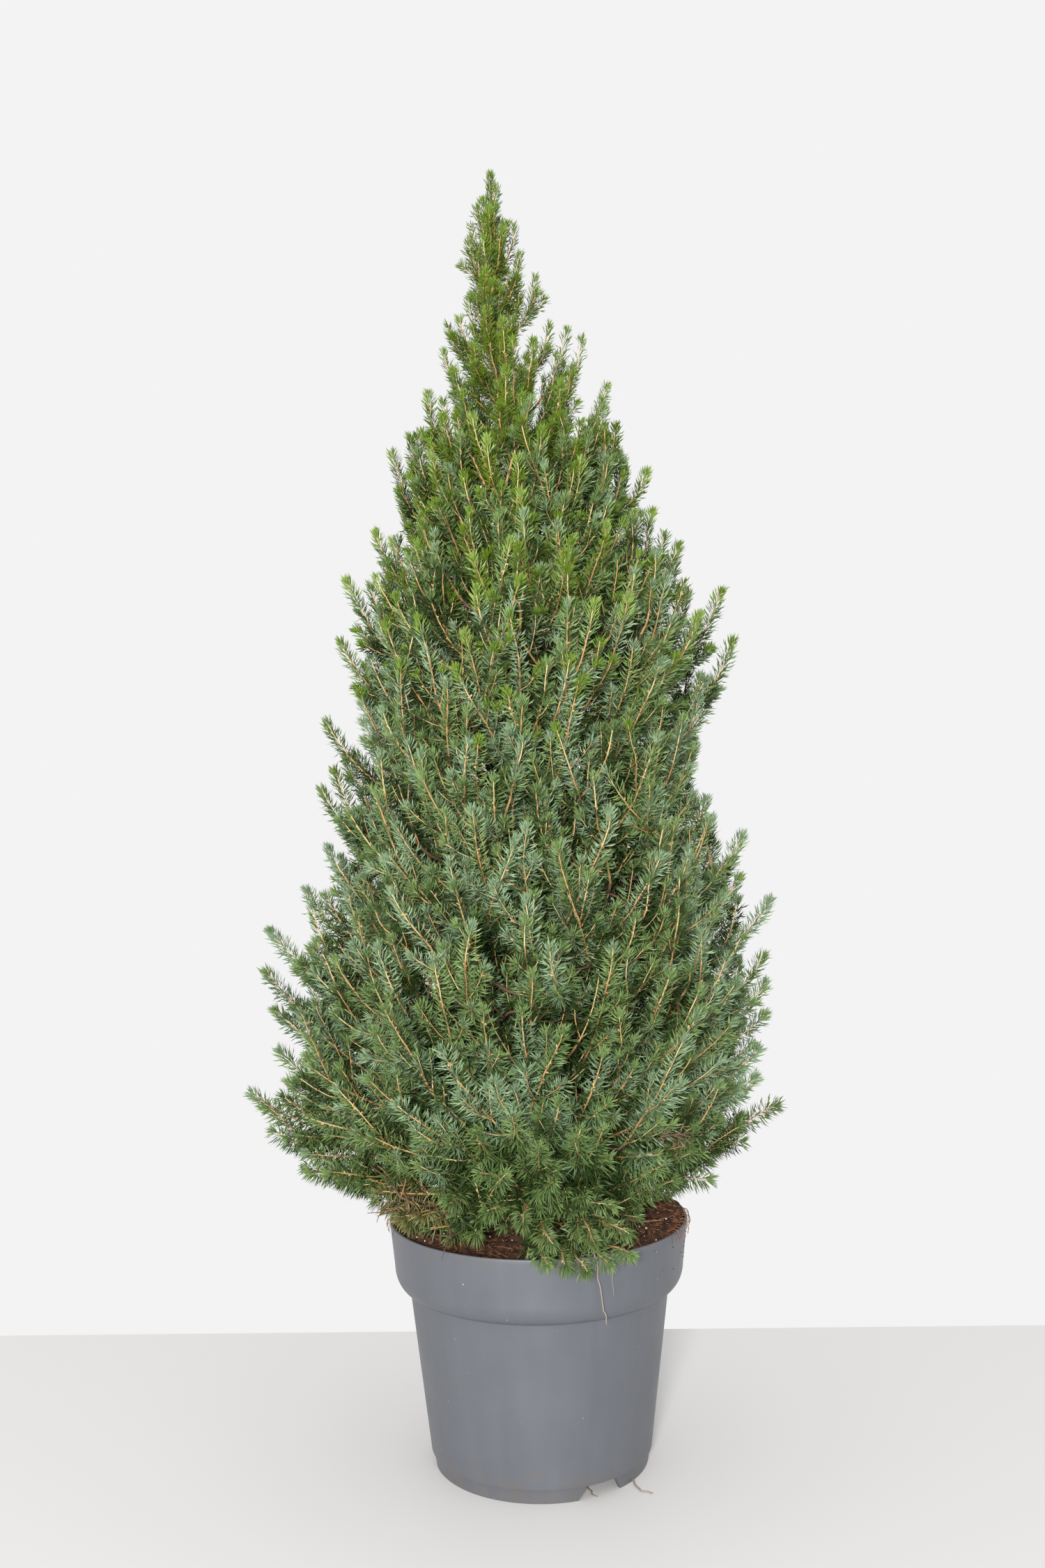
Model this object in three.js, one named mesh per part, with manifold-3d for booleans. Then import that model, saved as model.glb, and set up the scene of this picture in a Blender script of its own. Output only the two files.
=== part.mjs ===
// Dwarf white spruce (Alberta spruce) standing in a 20 litre nursery container.
// Millimetres, +Z up. The origin is on the pot's axis, in the plane the pot stands on.
// -Y is the front of the plant, +X its right-hand side.
import * as THREE from "three";
import { mergeVertices } from "three/addons/utils/BufferGeometryUtils.js";
import Module from "manifold-3d";

const wasm = await Module();
wasm.setup();

// ---------------------------------------------------------------- sizes

const GAP = 0.3; // clearance between pieces that touch

// Pot
const POT_HEIGHT = 284;
const POT_WALL = 3;
const RIM_R = 175; // outside of the rim's top edge
const BAND_LOW_R = 169.5; // outside of the rim band where it starts to round in
const BAND_LOW_Z = 232;
const NECK_R = 152.5; // where the band meets the tapered body
const NECK_Z = 206.8;
const BASE_R = 129.8; // foot of the tapered body
const BEAD_Z = 16.5;
const FOOT_TOP_R = 127.2; // foot ring, set back under the body
const FOOT_R = 125.3;
const FOOT_INNER_R = 119;
const FLOOR_UNDER_Z = 13.5;
const FLOOR_TOP_Z = 19.5;
const POT_SEGMENTS = 48;

// Drain notches through the foot ring: wider at the ground than at the top
const NOTCH_COUNT = 3;
const NOTCH_FIRST_DEG = -58; // azimuth of the one at the front right
const NOTCH_FOOT_WIDTH = 56;
const NOTCH_TOP_WIDTH = 40;

// Soil
const SOIL_EDGE_R = 168.3;
const SOIL_EDGE_Z = 274;
const SOIL_SHOULDER_R = 140;
const SOIL_SHOULDER_Z = 284;
const SOIL_TOP_Z = 294; // flat patch the stem stands on
const SOIL_FLAT_R = 46;
const SOIL_LUMP = 6;

// Trunk
const GROUND_Z = SOIL_TOP_Z + GAP;
const TRUNK_TIP_Z = 1512;
const TRUNK_BASE_R = 17;
const TRUNK_TIP_R = 1.1;
const FLARE_R = 10;
const FLARE_LENGTH = 16;
const TRUNK_SIDES = 9;
const TRUNK_LEVELS = [400, 500, 620, 740, 860, 980, 1060, 1110, 1160, 1210, 1260, 1310, 1360, 1430];

// The stem stands upright, sways to the left above TRUNK_BEND_Z and ends upright again.
const TRUNK_BEND_Z = 1060;
const TRUNK_BEND_LENGTH = 290;
const TRUNK_SWAY = -38;

// Foliage. Each tier is a ring of masses between two cones that rise outwards.
// base: height of the cone under the tier on the axis, slope: its rise per mm outwards
// z: heights of the outer edge's foot, its widest belt and its tips
// left, right: reach from the stem at those three heights
// front, back: how many masses fill each side between the left and the right one
const TIER_GAP = 9;
const SIDE_GAP_DEG = 1.4;
const TIERS = [
  { name: "skirt", base: 294, slope: 0.1, z: [322, 424, 462], left: [283, 343, 300], right: [203, 296, 262], front: 3, back: 2, inner: 100, bough: [8.5, 5.5, 326] },
  { name: "lower", base: 398, slope: 0.25, z: [480, 575, 690], left: [296, 318, 240], right: [258, 280, 242], front: 2, back: 3, inner: 94, bough: [7.5, 5, 448] },
  { name: "middle", base: 525, slope: 0.7, z: [705, 775, 892], left: [232, 256, 212], right: [226, 214, 214], front: 3, back: 2, inner: 74, bough: [6.5, 4.2, 592] },
  { name: "upper", base: 680, slope: 1.0, z: [905, 975, 1085], left: [196, 226, 168], right: [212, 238, 160], front: 2, back: 1, inner: 15.5 },
  { name: "high", base: 868, slope: 1.4, z: [1095, 1155, 1215], left: [140, 152, 118], right: [142, 152, 112], front: 1, back: 1, inner: 13.5 },
  { name: "peak", base: 1015, slope: 1.7, z: [1218, 1262, 1334], left: [92, 92, 54], right: [122, 122, 56], front: 0, back: 0, inner: 17 },
];
const CROWN_TOP = { base: 1198, slope: 2.2 };

// The needles of the front of the skirt hang down over the pot's rim.
const HANG_DEG = -84;
const HANG_WIDTH_DEG = 34;
const HANG_DEPTH = 78;
const HANG_IN_R = 181;

// Leading shoot: a spire of foliage with the stem's tip inside it
const SPIRE_RADII = [
  [1264, 26],
  [1330, 44],
  [1376, 38],
  [1410, 29],
  [1446, 24],
  [1472, 19],
  [1502, 11],
];
const SPIRE_TIP_Z = 1523;
const SPIRE_SIDES = 12;

// ---------------------------------------------------------------- materials

const material = (colour, roughness, metalness = 0) =>
  new THREE.MeshStandardMaterial({ color: colour, roughness, metalness });
const plastic = material(0x858991, 0.5);
const peat = material(0x3e261b, 0.97);
const bark = material(0x6d5341, 0.9);
const foliage = {
  skirt: material(0x4c6b4a, 0.7),
  lower: material(0x4b6f55, 0.7),
  middle: material(0x4f7554, 0.7),
  upper: material(0x57794c, 0.7),
  high: material(0x5f8148, 0.7),
  peak: material(0x688a47, 0.7),
};

// ---------------------------------------------------------------- helpers

const group = new THREE.Group();
group.name = "potted_spruce";

const rad = THREE.MathUtils.degToRad;
const clamp = THREE.MathUtils.clamp;
const lerp = THREE.MathUtils.lerp;

// Even scatter in -1..1, always the same for the same pair of numbers.
function scatter(i, j) {
  const s = Math.sin(i * 127.1 + j * 311.7 + 74.7) * 43758.5453;
  return 2 * (s - Math.floor(s)) - 1;
}

// Where the stem's axis is at height z.
function stemX(z) {
  const t = clamp((z - TRUNK_BEND_Z) / TRUNK_BEND_LENGTH, 0, 1);
  return TRUNK_SWAY * t * t * (3 - 2 * t);
}

function stemRadius(z) {
  const t = (z - GROUND_Z) / (TRUNK_TIP_Z - GROUND_Z);
  return (
    lerp(TRUNK_BASE_R, TRUNK_TIP_R, clamp(t, 0, 1)) +
    FLARE_R * Math.exp(-(z - GROUND_Z) / FLARE_LENGTH)
  );
}

// A point given by azimuth, distance from the stem's axis and height.
function around(azimuth, r, z) {
  return new THREE.Vector3(
    stemX(z) + r * Math.cos(azimuth),
    r * Math.sin(azimuth),
    z,
  );
}

// One closed skin through rings of points, with flat ends.
function loft(rings) {
  const n = rings[0].length;
  const position = [];
  const face = (a, b, c) => position.push(...a, ...b, ...c);
  const flat = rings.map((ring) => ring.map((p) => p.toArray()));
  for (let i = 0; i + 1 < flat.length; i++)
    for (let j = 0; j < n; j++) {
      const k = (j + 1) % n;
      face(flat[i][j], flat[i][k], flat[i + 1][k]);
      face(flat[i][j], flat[i + 1][k], flat[i + 1][j]);
    }
  for (const [ring, turn] of [
    [rings[0], true],
    [rings[rings.length - 1], false],
  ]) {
    const centre = ring
      .reduce((sum, p) => sum.add(p), new THREE.Vector3())
      .divideScalar(n)
      .toArray();
    for (let j = 0; j < n; j++) {
      const a = ring[j].toArray();
      const b = ring[(j + 1) % n].toArray();
      if (turn) face(centre, b, a);
      else face(centre, a, b);
    }
  }
  const g = new THREE.BufferGeometry();
  g.setAttribute("position", new THREE.Float32BufferAttribute(position, 3));
  return outward(g);
}

// Turns the faces round if they point into the solid.
function outward(g) {
  const p = g.getAttribute("position");
  const a = new THREE.Vector3();
  const b = new THREE.Vector3();
  const c = new THREE.Vector3();
  let volume = 0;
  for (let i = 0; i < p.count; i += 3) {
    a.fromBufferAttribute(p, i);
    b.fromBufferAttribute(p, i + 1);
    c.fromBufferAttribute(p, i + 2);
    volume += a.dot(b.cross(c));
  }
  if (volume < 0)
    for (let i = 0; i < p.count; i += 3) {
      a.fromBufferAttribute(p, i + 1);
      b.fromBufferAttribute(p, i + 2);
      p.setXYZ(i + 1, b.x, b.y, b.z);
      p.setXYZ(i + 2, a.x, a.y, a.z);
    }
  g.computeVertexNormals();
  return g;
}

// A turned piece from its (radius, height) outline.
function turned(outline, segments) {
  const g = new THREE.LatheGeometry(
    outline.map(([r, z]) => new THREE.Vector2(r, z)),
    segments,
  );
  g.rotateX(Math.PI / 2);
  return g;
}

function toSolid(geometry) {
  const g = geometry.index ? geometry.toNonIndexed() : geometry.clone();
  g.deleteAttribute("normal");
  g.deleteAttribute("uv");
  const merged = mergeVertices(g, 1e-3);
  return new wasm.Manifold(
    new wasm.Mesh({
      numProp: 3,
      vertProperties: new Float32Array(merged.attributes.position.array),
      triVerts: new Uint32Array(merged.index.array),
    }),
  );
}

function toGeometry(solid) {
  const mesh = solid.getMesh();
  const g = new THREE.BufferGeometry();
  g.setAttribute("position", new THREE.BufferAttribute(mesh.vertProperties, 3));
  g.setIndex(new THREE.BufferAttribute(mesh.triVerts, 1));
  g.computeVertexNormals();
  return g;
}

function add(name, geometry, look) {
  const mesh = new THREE.Mesh(geometry, look);
  mesh.name = name;
  group.add(mesh);
  return mesh;
}

// ---------------------------------------------------------------- pot

// The band rounds in to the neck along a quarter of an ellipse.
function bandCurve(inset, steps) {
  const points = [];
  for (let i = 0; i <= steps; i++) {
    const t = (i / steps) * (Math.PI / 2);
    points.push([
      NECK_R - inset + (BAND_LOW_R - NECK_R) * Math.cos(t),
      BAND_LOW_Z - (BAND_LOW_Z - NECK_Z) * Math.sin(t) + inset * 0.6 * Math.sin(t),
    ]);
  }
  return points;
}

const potOutside = [
  [FOOT_R, 0],
  [FOOT_TOP_R, BEAD_Z],
  [BASE_R, BEAD_Z + 0.8],
  ...bandCurve(0, 3).reverse(),
  [RIM_R, POT_HEIGHT - 1],
];
const potInside = [
  [RIM_R - 1, POT_HEIGHT],
  [RIM_R - POT_WALL + 0.6, POT_HEIGHT],
  [RIM_R - POT_WALL, POT_HEIGHT - 1],
  ...bandCurve(POT_WALL, 2),
  [BASE_R - POT_WALL + 0.5, FLOOR_TOP_Z],
];
const potOutline = [
  [0, FLOOR_UNDER_Z],
  [FOOT_INNER_R, FLOOR_UNDER_Z],
  [FOOT_INNER_R + 0.5, 0],
  ...potOutside,
  ...potInside,
  [0, FLOOR_TOP_Z],
];

let pot = toSolid(turned(potOutline, POT_SEGMENTS));
for (let i = 0; i < NOTCH_COUNT; i++) {
  const section = new THREE.Shape();
  section.moveTo(-NOTCH_FOOT_WIDTH / 2, -4);
  section.lineTo(NOTCH_FOOT_WIDTH / 2, -4);
  section.lineTo(NOTCH_FOOT_WIDTH / 2, 0);
  section.lineTo(NOTCH_TOP_WIDTH / 2, BEAD_Z - 1);
  section.lineTo(-NOTCH_TOP_WIDTH / 2, BEAD_Z - 1);
  section.lineTo(-NOTCH_FOOT_WIDTH / 2, 0);
  section.closePath();
  const cutter = new THREE.ExtrudeGeometry(section, {
    depth: 40,
    bevelEnabled: false,
  });
  cutter.translate(0, 0, FOOT_INNER_R - 22);
  cutter.rotateX(Math.PI / 2); // the extrusion now runs along -Y, its height along Z
  cutter.rotateZ(rad(NOTCH_FIRST_DEG + (i * 360) / NOTCH_COUNT + 90));
  pot = pot.subtract(toSolid(cutter));
}
add("pot", toGeometry(pot), plastic);

// ---------------------------------------------------------------- soil

const soilOutline = [
  [0, FLOOR_TOP_Z + GAP],
  [BASE_R - POT_WALL + 0.5 - GAP, FLOOR_TOP_Z + GAP],
  ...bandCurve(POT_WALL + GAP, 2)
    .map(([r, z]) => [r, z + 0.5])
    .reverse(),
  [SOIL_EDGE_R, SOIL_EDGE_Z],
  [SOIL_SHOULDER_R, SOIL_SHOULDER_Z],
  [(SOIL_SHOULDER_R + SOIL_FLAT_R) / 2, lerp(SOIL_SHOULDER_Z, SOIL_TOP_Z, 0.6)],
  [SOIL_FLAT_R, SOIL_TOP_Z],
  [0, SOIL_TOP_Z],
];
const soil = turned(soilOutline, POT_SEGMENTS);
{
  // The surface is heaped at both sides and sunk at the front.
  const p = soil.getAttribute("position");
  for (let i = 0; i < p.count; i++) {
    const [x, y, z] = [p.getX(i), p.getY(i), p.getZ(i)];
    const r = Math.hypot(x, y);
    if (z < SOIL_EDGE_Z - 1 || r < SOIL_FLAT_R + 1) continue;
    const a = Math.atan2(y, x);
    const heap = 0.8 * Math.cos(2 * a) + 0.35 * Math.sin(a) + 0.25 * Math.sin(5 * a + 1);
    p.setZ(i, z + SOIL_LUMP * heap);
  }
  soil.computeVertexNormals();
}
add("soil", soil, peat);

// ---------------------------------------------------------------- trunk

{
  const foot = [0, 6, 16, 36].map((h) => GROUND_Z + h);
  const rings = [...foot, ...TRUNK_LEVELS, TRUNK_TIP_Z].map((z, i) => {
    const h = z - GROUND_Z;
    const ring = [];
    for (let j = 0; j < TRUNK_SIDES; j++) {
      const a = (2 * Math.PI * j) / TRUNK_SIDES;
      // The flare runs out into a few buttresses.
      const buttress = 1 + 0.16 * Math.cos(3 * a + 0.6) * Math.exp(-h / FLARE_LENGTH);
      const bump = h > 0 && h < 700 ? 1 + 0.03 * scatter(i, j) : 1;
      ring.push(around(a, stemRadius(z) * buttress * bump, z));
    }
    return ring;
  });
  add("trunk", loft(rings), bark);
}

// ---------------------------------------------------------------- foliage and boughs

// Azimuths of a tier's masses, with a plain name for each.
function places(tier) {
  const list = [{ name: "right", deg: 0 }];
  for (let i = 1; i <= tier.back; i++)
    list.push({ name: `back_${i}`, deg: (180 * i) / (tier.back + 1) });
  list.push({ name: "left", deg: 180 });
  for (let i = 1; i <= tier.front; i++)
    list.push({ name: `front_${i}`, deg: 180 + (180 * i) / (tier.front + 1) });
  return list.map((p, i) => {
    const before = list[(i + list.length - 1) % list.length].deg;
    const after = list[(i + 1) % list.length].deg;
    return {
      ...p,
      down: (((p.deg - before + 360) % 360) || 360) / 2 - SIDE_GAP_DEG,
      up: (((after - p.deg + 360) % 360) || 360) / 2 - SIDE_GAP_DEG,
    };
  });
}

const CROSS = [-1, -0.74, -0.4, 0, 0.4, 0.74, 1];
const SHRINK = [0.42, 0.82, 0.97, 1, 0.97, 0.82, 0.42];

function hangAt(deg) {
  const off = ((((deg - HANG_DEG) % 360) + 540) % 360) - 180;
  return HANG_DEPTH * Math.exp(-((off / HANG_WIDTH_DEG) ** 4));
}

// One mass: the outline of its upright section, carried round the stem from side to side.
function mass(tier, above, place, seed) {
  const low = (r) => tier.base + tier.slope * r + TIER_GAP / 2;
  const high = (r) => above.base + above.slope * r - TIER_GAP / 2;
  const inner = tier.inner;
  return loft(
    CROSS.map((c, i) => {
      const deg = place.deg + (c < 0 ? c * place.down : c * place.up);
      const az = rad(deg);
      const side = (1 - Math.cos(az)) / 2; // 0 at the right, 1 at the left
      const own = Math.abs(Math.sin(az)); // 1 at the front and the back
      const reach = [0, 1, 2].map(
        (k) =>
          lerp(tier.right[k], tier.left[k], side) *
          (1 + 0.05 * own * scatter(seed, k + 3) + 0.03 * own * scatter(seed + i, k)),
      );
      const shrink = SHRINK[i];
      const zFoot = low(reach[0]);
      const zTip = Math.min(tier.z[2] + 8 * scatter(seed, i + 9), high(reach[2]));
      const zBelt = lerp(zFoot, zTip, (tier.z[1] - tier.z[0]) / (tier.z[2] - tier.z[0]));
      const hang = tier === TIERS[0] ? hangAt(deg) : 0;
      const under = tier === TIERS[0] ? HANG_IN_R : lerp(inner, reach[0], 0.45);
      const hung = tier === TIERS[0] ? HANG_IN_R + 8 : lerp(inner, reach[0], 0.75);
      const shape = [
        [inner, low(inner)],
        [under, low(under)],
        [hung, low(hung) - hang],
        [lerp(hung, reach[0], 0.4), low(reach[0]) - hang * 0.97],
        [reach[0], zFoot - hang * 0.55],
        [lerp(reach[0], reach[1], 0.72), lerp(zFoot, zBelt, 0.6)],
        [reach[1], zBelt],
        [lerp(reach[1], reach[2], 0.35), lerp(zBelt, zTip, 0.55)],
        [reach[2], zTip],
        [lerp(inner, reach[2], 0.74), Math.min(zTip, high(lerp(inner, reach[2], 0.74))) - 4],
        [lerp(inner, reach[2], 0.36), Math.min(zTip, high(lerp(inner, reach[2], 0.36)))],
        [inner, Math.min(zTip, high(inner))],
      ];
      const zMid = (low(inner) + high(inner)) / 2;
      const lump = (k) => 1 - 0.035 * (1 + scatter(seed + 7 * i, k));
      return shape.map(([r, z], k) => {
        const out = k >= 4 && k <= 9 && i !== 3 ? lump(k) : 1;
        const droops = hang > 4 && k >= 1 && k <= 4;
        const rr = droops ? Math.max(r, HANG_IN_R) : inner + (r - inner) * shrink * out;
        const mid = lerp(zMid, zBelt, clamp((r - inner) / (reach[1] - inner), 0, 1));
        const drawn = mid + (z - mid) * lerp(1, shrink, 0.6);
        const zz = droops ? z : clamp(drawn, low(rr), high(rr));
        return around(az, rr, zz);
      });
    }),
  );
}

// One limb from the stem's bark to the inner face of its mass, cut square at both ends.
function bough(tier, above, place, seed) {
  const [startR, endR, startZ] = tier.bough;
  const az = rad(place.deg + 2 * scatter(seed, 1));
  const z0 = startZ + 9 * scatter(seed, 2);
  const z1 =
    (tier.base + above.base) / 2 + ((tier.slope + above.slope) / 2) * tier.inner - 8;
  const r0 = stemRadius(z0 - startR) + 1.2;
  const r1 = tier.inner - 1.2;
  const rings = [0, 0.33, 0.68, 1].map((t) => {
    const r = lerp(r0, r1, t);
    const z = lerp(z0, z1, t ** 1.15);
    const size = lerp(startR, endR, t) * (t > 0 && t < 1 ? 0.93 : 1);
    const centre = around(az, r, z);
    const across = new THREE.Vector3(-Math.sin(az), Math.cos(az), 0);
    const ring = [];
    for (let j = 0; j < 6; j++) {
      const b = (2 * Math.PI * j) / 6;
      ring.push(
        centre
          .clone()
          .addScaledVector(across, size * Math.cos(b))
          .add(new THREE.Vector3(0, 0, size * Math.sin(b))),
      );
    }
    return ring;
  });
  return loft(rings);
}

TIERS.forEach((tier, t) => {
  const above = TIERS[t + 1] || CROWN_TOP;
  places(tier).forEach((place, i) => {
    const seed = 17 * t + 3 * i + 1;
    if (tier.bough)
      add(`bough_${tier.name}_${place.name}`, bough(tier, above, place, seed), bark);
    add(
      `foliage_${tier.name}_${place.name}`,
      mass(tier, above, place, seed),
      foliage[tier.name],
    );
  });
});

// The leading shoot's foliage, with a blind bore round the stem's tip.
{
  const boreTop = TRUNK_TIP_Z + 1;
  const low = (r) => CROWN_TOP.base + CROWN_TOP.slope * r + TIER_GAP / 2;
  const boreFoot = stemRadius(low(8)) + 2;
  const levels = [
    [low(boreFoot + 2), boreFoot + 2],
    ...SPIRE_RADII,
  ];
  const rings = [];
  const ringAt = (z, r, seed) => {
    const ring = [];
    for (let j = 0; j < SPIRE_SIDES; j++) {
      const a = (2 * Math.PI * j) / SPIRE_SIDES;
      const lump = seed ? 1 + 0.1 * scatter(seed, j) : 1;
      ring.push(around(a, r * lump, z));
    }
    return ring;
  };
  rings.push(ringAt(boreTop, TRUNK_TIP_R + 1, 0));
  for (const z of TRUNK_LEVELS.filter((z) => z > low(boreFoot)).reverse())
    rings.push(ringAt(z, stemRadius(z) + 1.5, 0));
  rings.push(ringAt(low(boreFoot), boreFoot, 0));
  levels.slice(1).forEach(([z, r], i) => rings.push(ringAt(z, r, i + 1)));
  rings.push(ringAt(SPIRE_TIP_Z, 2, 0));
  add("foliage_leader", loft(rings), foliage.peak);
}

export default group;
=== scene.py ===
import math

import bpy
import numpy as np
from mathutils import Matrix, Vector


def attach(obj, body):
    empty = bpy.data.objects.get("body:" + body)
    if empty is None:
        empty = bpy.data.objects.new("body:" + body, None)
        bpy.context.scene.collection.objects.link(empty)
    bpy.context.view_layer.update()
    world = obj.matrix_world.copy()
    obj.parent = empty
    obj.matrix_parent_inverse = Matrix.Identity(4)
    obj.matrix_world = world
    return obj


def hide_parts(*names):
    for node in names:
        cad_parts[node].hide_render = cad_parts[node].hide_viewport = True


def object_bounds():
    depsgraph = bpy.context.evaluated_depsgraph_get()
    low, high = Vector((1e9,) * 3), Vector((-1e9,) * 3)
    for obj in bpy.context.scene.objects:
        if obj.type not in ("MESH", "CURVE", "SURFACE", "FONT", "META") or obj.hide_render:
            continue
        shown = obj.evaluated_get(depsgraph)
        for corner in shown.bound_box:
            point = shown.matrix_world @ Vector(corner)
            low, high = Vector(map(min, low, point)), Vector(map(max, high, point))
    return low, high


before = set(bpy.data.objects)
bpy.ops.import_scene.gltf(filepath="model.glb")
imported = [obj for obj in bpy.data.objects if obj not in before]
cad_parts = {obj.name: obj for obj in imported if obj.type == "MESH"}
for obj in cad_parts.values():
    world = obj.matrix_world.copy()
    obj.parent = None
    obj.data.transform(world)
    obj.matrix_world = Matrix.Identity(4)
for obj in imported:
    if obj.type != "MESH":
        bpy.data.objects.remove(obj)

cad_lo, cad_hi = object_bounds()
NODES = sorted(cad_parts)
MASSES = [n for n in NODES if n.startswith("foliage_")]
BOUGHS = [n for n in NODES if n.startswith("bough_")]
rng = np.random.default_rng(4107)
scene = bpy.context.scene
scene.view_settings.view_transform = "Standard"
scene.view_settings.look = "None"
TAU = 2 * math.pi

# ---------------------------------------------------------------- sizes shared with the CAD (metres)

POT_H = 0.284
RIM_R = 0.175
BAND_LOW_R, BAND_LOW_Z = 0.1695, 0.232
NECK_R, NECK_Z = 0.1525, 0.2068
BASE_R, BEAD_Z = 0.1298, 0.0165
FOOT_TOP_R, FOOT_R, FOOT_IN_R = 0.1272, 0.1253, 0.119
SOIL_TOP = 0.294
GROUND = 0.2943
TRUNK_TIP = 1.512
BEND_Z, BEND_LEN, SWAY = 1.060, 0.290, -0.038
# name, base, slope, inner radius, bough radius at the stem, at its end, height at the stem, front and back masses
TIERS = [
    ("skirt", 294, 0.1, 100, 8.5, 5.5, 326, 3, 2),
    ("lower", 398, 0.25, 94, 7.5, 5.0, 448, 2, 3),
    ("middle", 525, 0.7, 74, 6.5, 4.2, 592, 3, 2),
    ("upper", 680, 1.0, 15.5, 0, 0, 0, 2, 1),
]


def stem_x(z):
    t = np.clip((np.asarray(z, float) - BEND_Z) / BEND_LEN, 0, 1)
    return SWAY * t * t * (3 - 2 * t)


def stem_radius(z):
    t = np.clip((np.asarray(z, float) - GROUND) / (TRUNK_TIP - GROUND), 0, 1)
    return 0.017 + (0.0011 - 0.017) * t + 0.010 * np.exp(-(np.asarray(z, float) - GROUND) / 0.016)


def scatter(i, j):
    s = math.sin(i * 127.1 + j * 311.7 + 74.7) * 43758.5453
    return 2 * (s - math.floor(s)) - 1


# ---------------------------------------------------------------- small helpers

def unit(v):
    v = np.asarray(v, float)
    return v / np.maximum(np.linalg.norm(v, axis=-1, keepdims=True), 1e-12)


def smooth(a, b, x):
    t = np.clip((np.asarray(x, float) - a) / (b - a), 0, 1)
    return t * t * (3 - 2 * t)


def vnoise(p, seed=0):
    """Smooth value noise in -1..1 at points p (..., 3)."""
    p = np.asarray(p, float)
    i = np.floor(p).astype(np.int64)
    f = p - i
    f = f * f * (3 - 2 * f)
    out = 0.0
    for dx in (0, 1):
        for dy in (0, 1):
            for dz in (0, 1):
                h = ((i[..., 0] + dx) * 374761393 + (i[..., 1] + dy) * 668265263 + (i[..., 2] + dz) * 1274126177 + seed * 144665) & 0xFFFFFFFF
                h = ((h ^ (h >> 13)) * 1103515245) & 0xFFFFFFFF
                h = (h ^ (h >> 16)) & 0xFFFF
                w = (f[..., 0] if dx else 1 - f[..., 0]) * (f[..., 1] if dy else 1 - f[..., 1]) * (f[..., 2] if dz else 1 - f[..., 2])
                out = out + w * (h / 32767.5 - 1)
    return out


def fbm(p, octaves=4, seed=0):
    out, amp, total = 0.0, 1.0, 0.0
    for k in range(octaves):
        out = out + amp * vnoise(np.asarray(p) * 2.0**k, seed + 11 * k)
        total += amp
        amp *= 0.5
    return out / total


def mesh_object(name, verts, faces, material, smooth_shade=True):
    """A mesh from arrays; faces is an (n, 3) or (n, 4) array, or a list of such arrays."""
    groups = faces if isinstance(faces, list) else [faces]
    groups = [np.asarray(g, np.int32) for g in groups if len(g)]
    loops = np.concatenate([g.ravel() for g in groups])
    totals = np.concatenate([np.full(len(g), g.shape[1], np.int32) for g in groups])
    starts = np.concatenate([[0], np.cumsum(totals)[:-1]]).astype(np.int32)
    me = bpy.data.meshes.new(name)
    me.vertices.add(len(verts))
    me.vertices.foreach_set("co", np.asarray(verts, np.float32).ravel())
    me.loops.add(len(loops))
    me.loops.foreach_set("vertex_index", loops)
    me.polygons.add(len(totals))
    me.polygons.foreach_set("loop_start", starts)
    me.polygons.foreach_set("loop_total", totals)
    me.polygons.foreach_set("use_smooth", np.full(len(totals), smooth_shade))
    me.update(calc_edges=True)
    me.validate()
    me.materials.append(material)
    ob = bpy.data.objects.new(name, me)
    scene.collection.objects.link(ob)
    return ob


def piece(ob, slot):
    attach(ob, "root")
    return ob


def principled(name, colour, roughness, specular=0.5):
    m = bpy.data.materials.new(name)
    m.use_nodes = True
    b = m.node_tree.nodes["Principled BSDF"]
    b.inputs["Base Color"].default_value = (*colour, 1)
    b.inputs["Roughness"].default_value = roughness
    b.inputs["Specular IOR Level"].default_value = specular
    return m


# ---------------------------------------------------------------- materials

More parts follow.
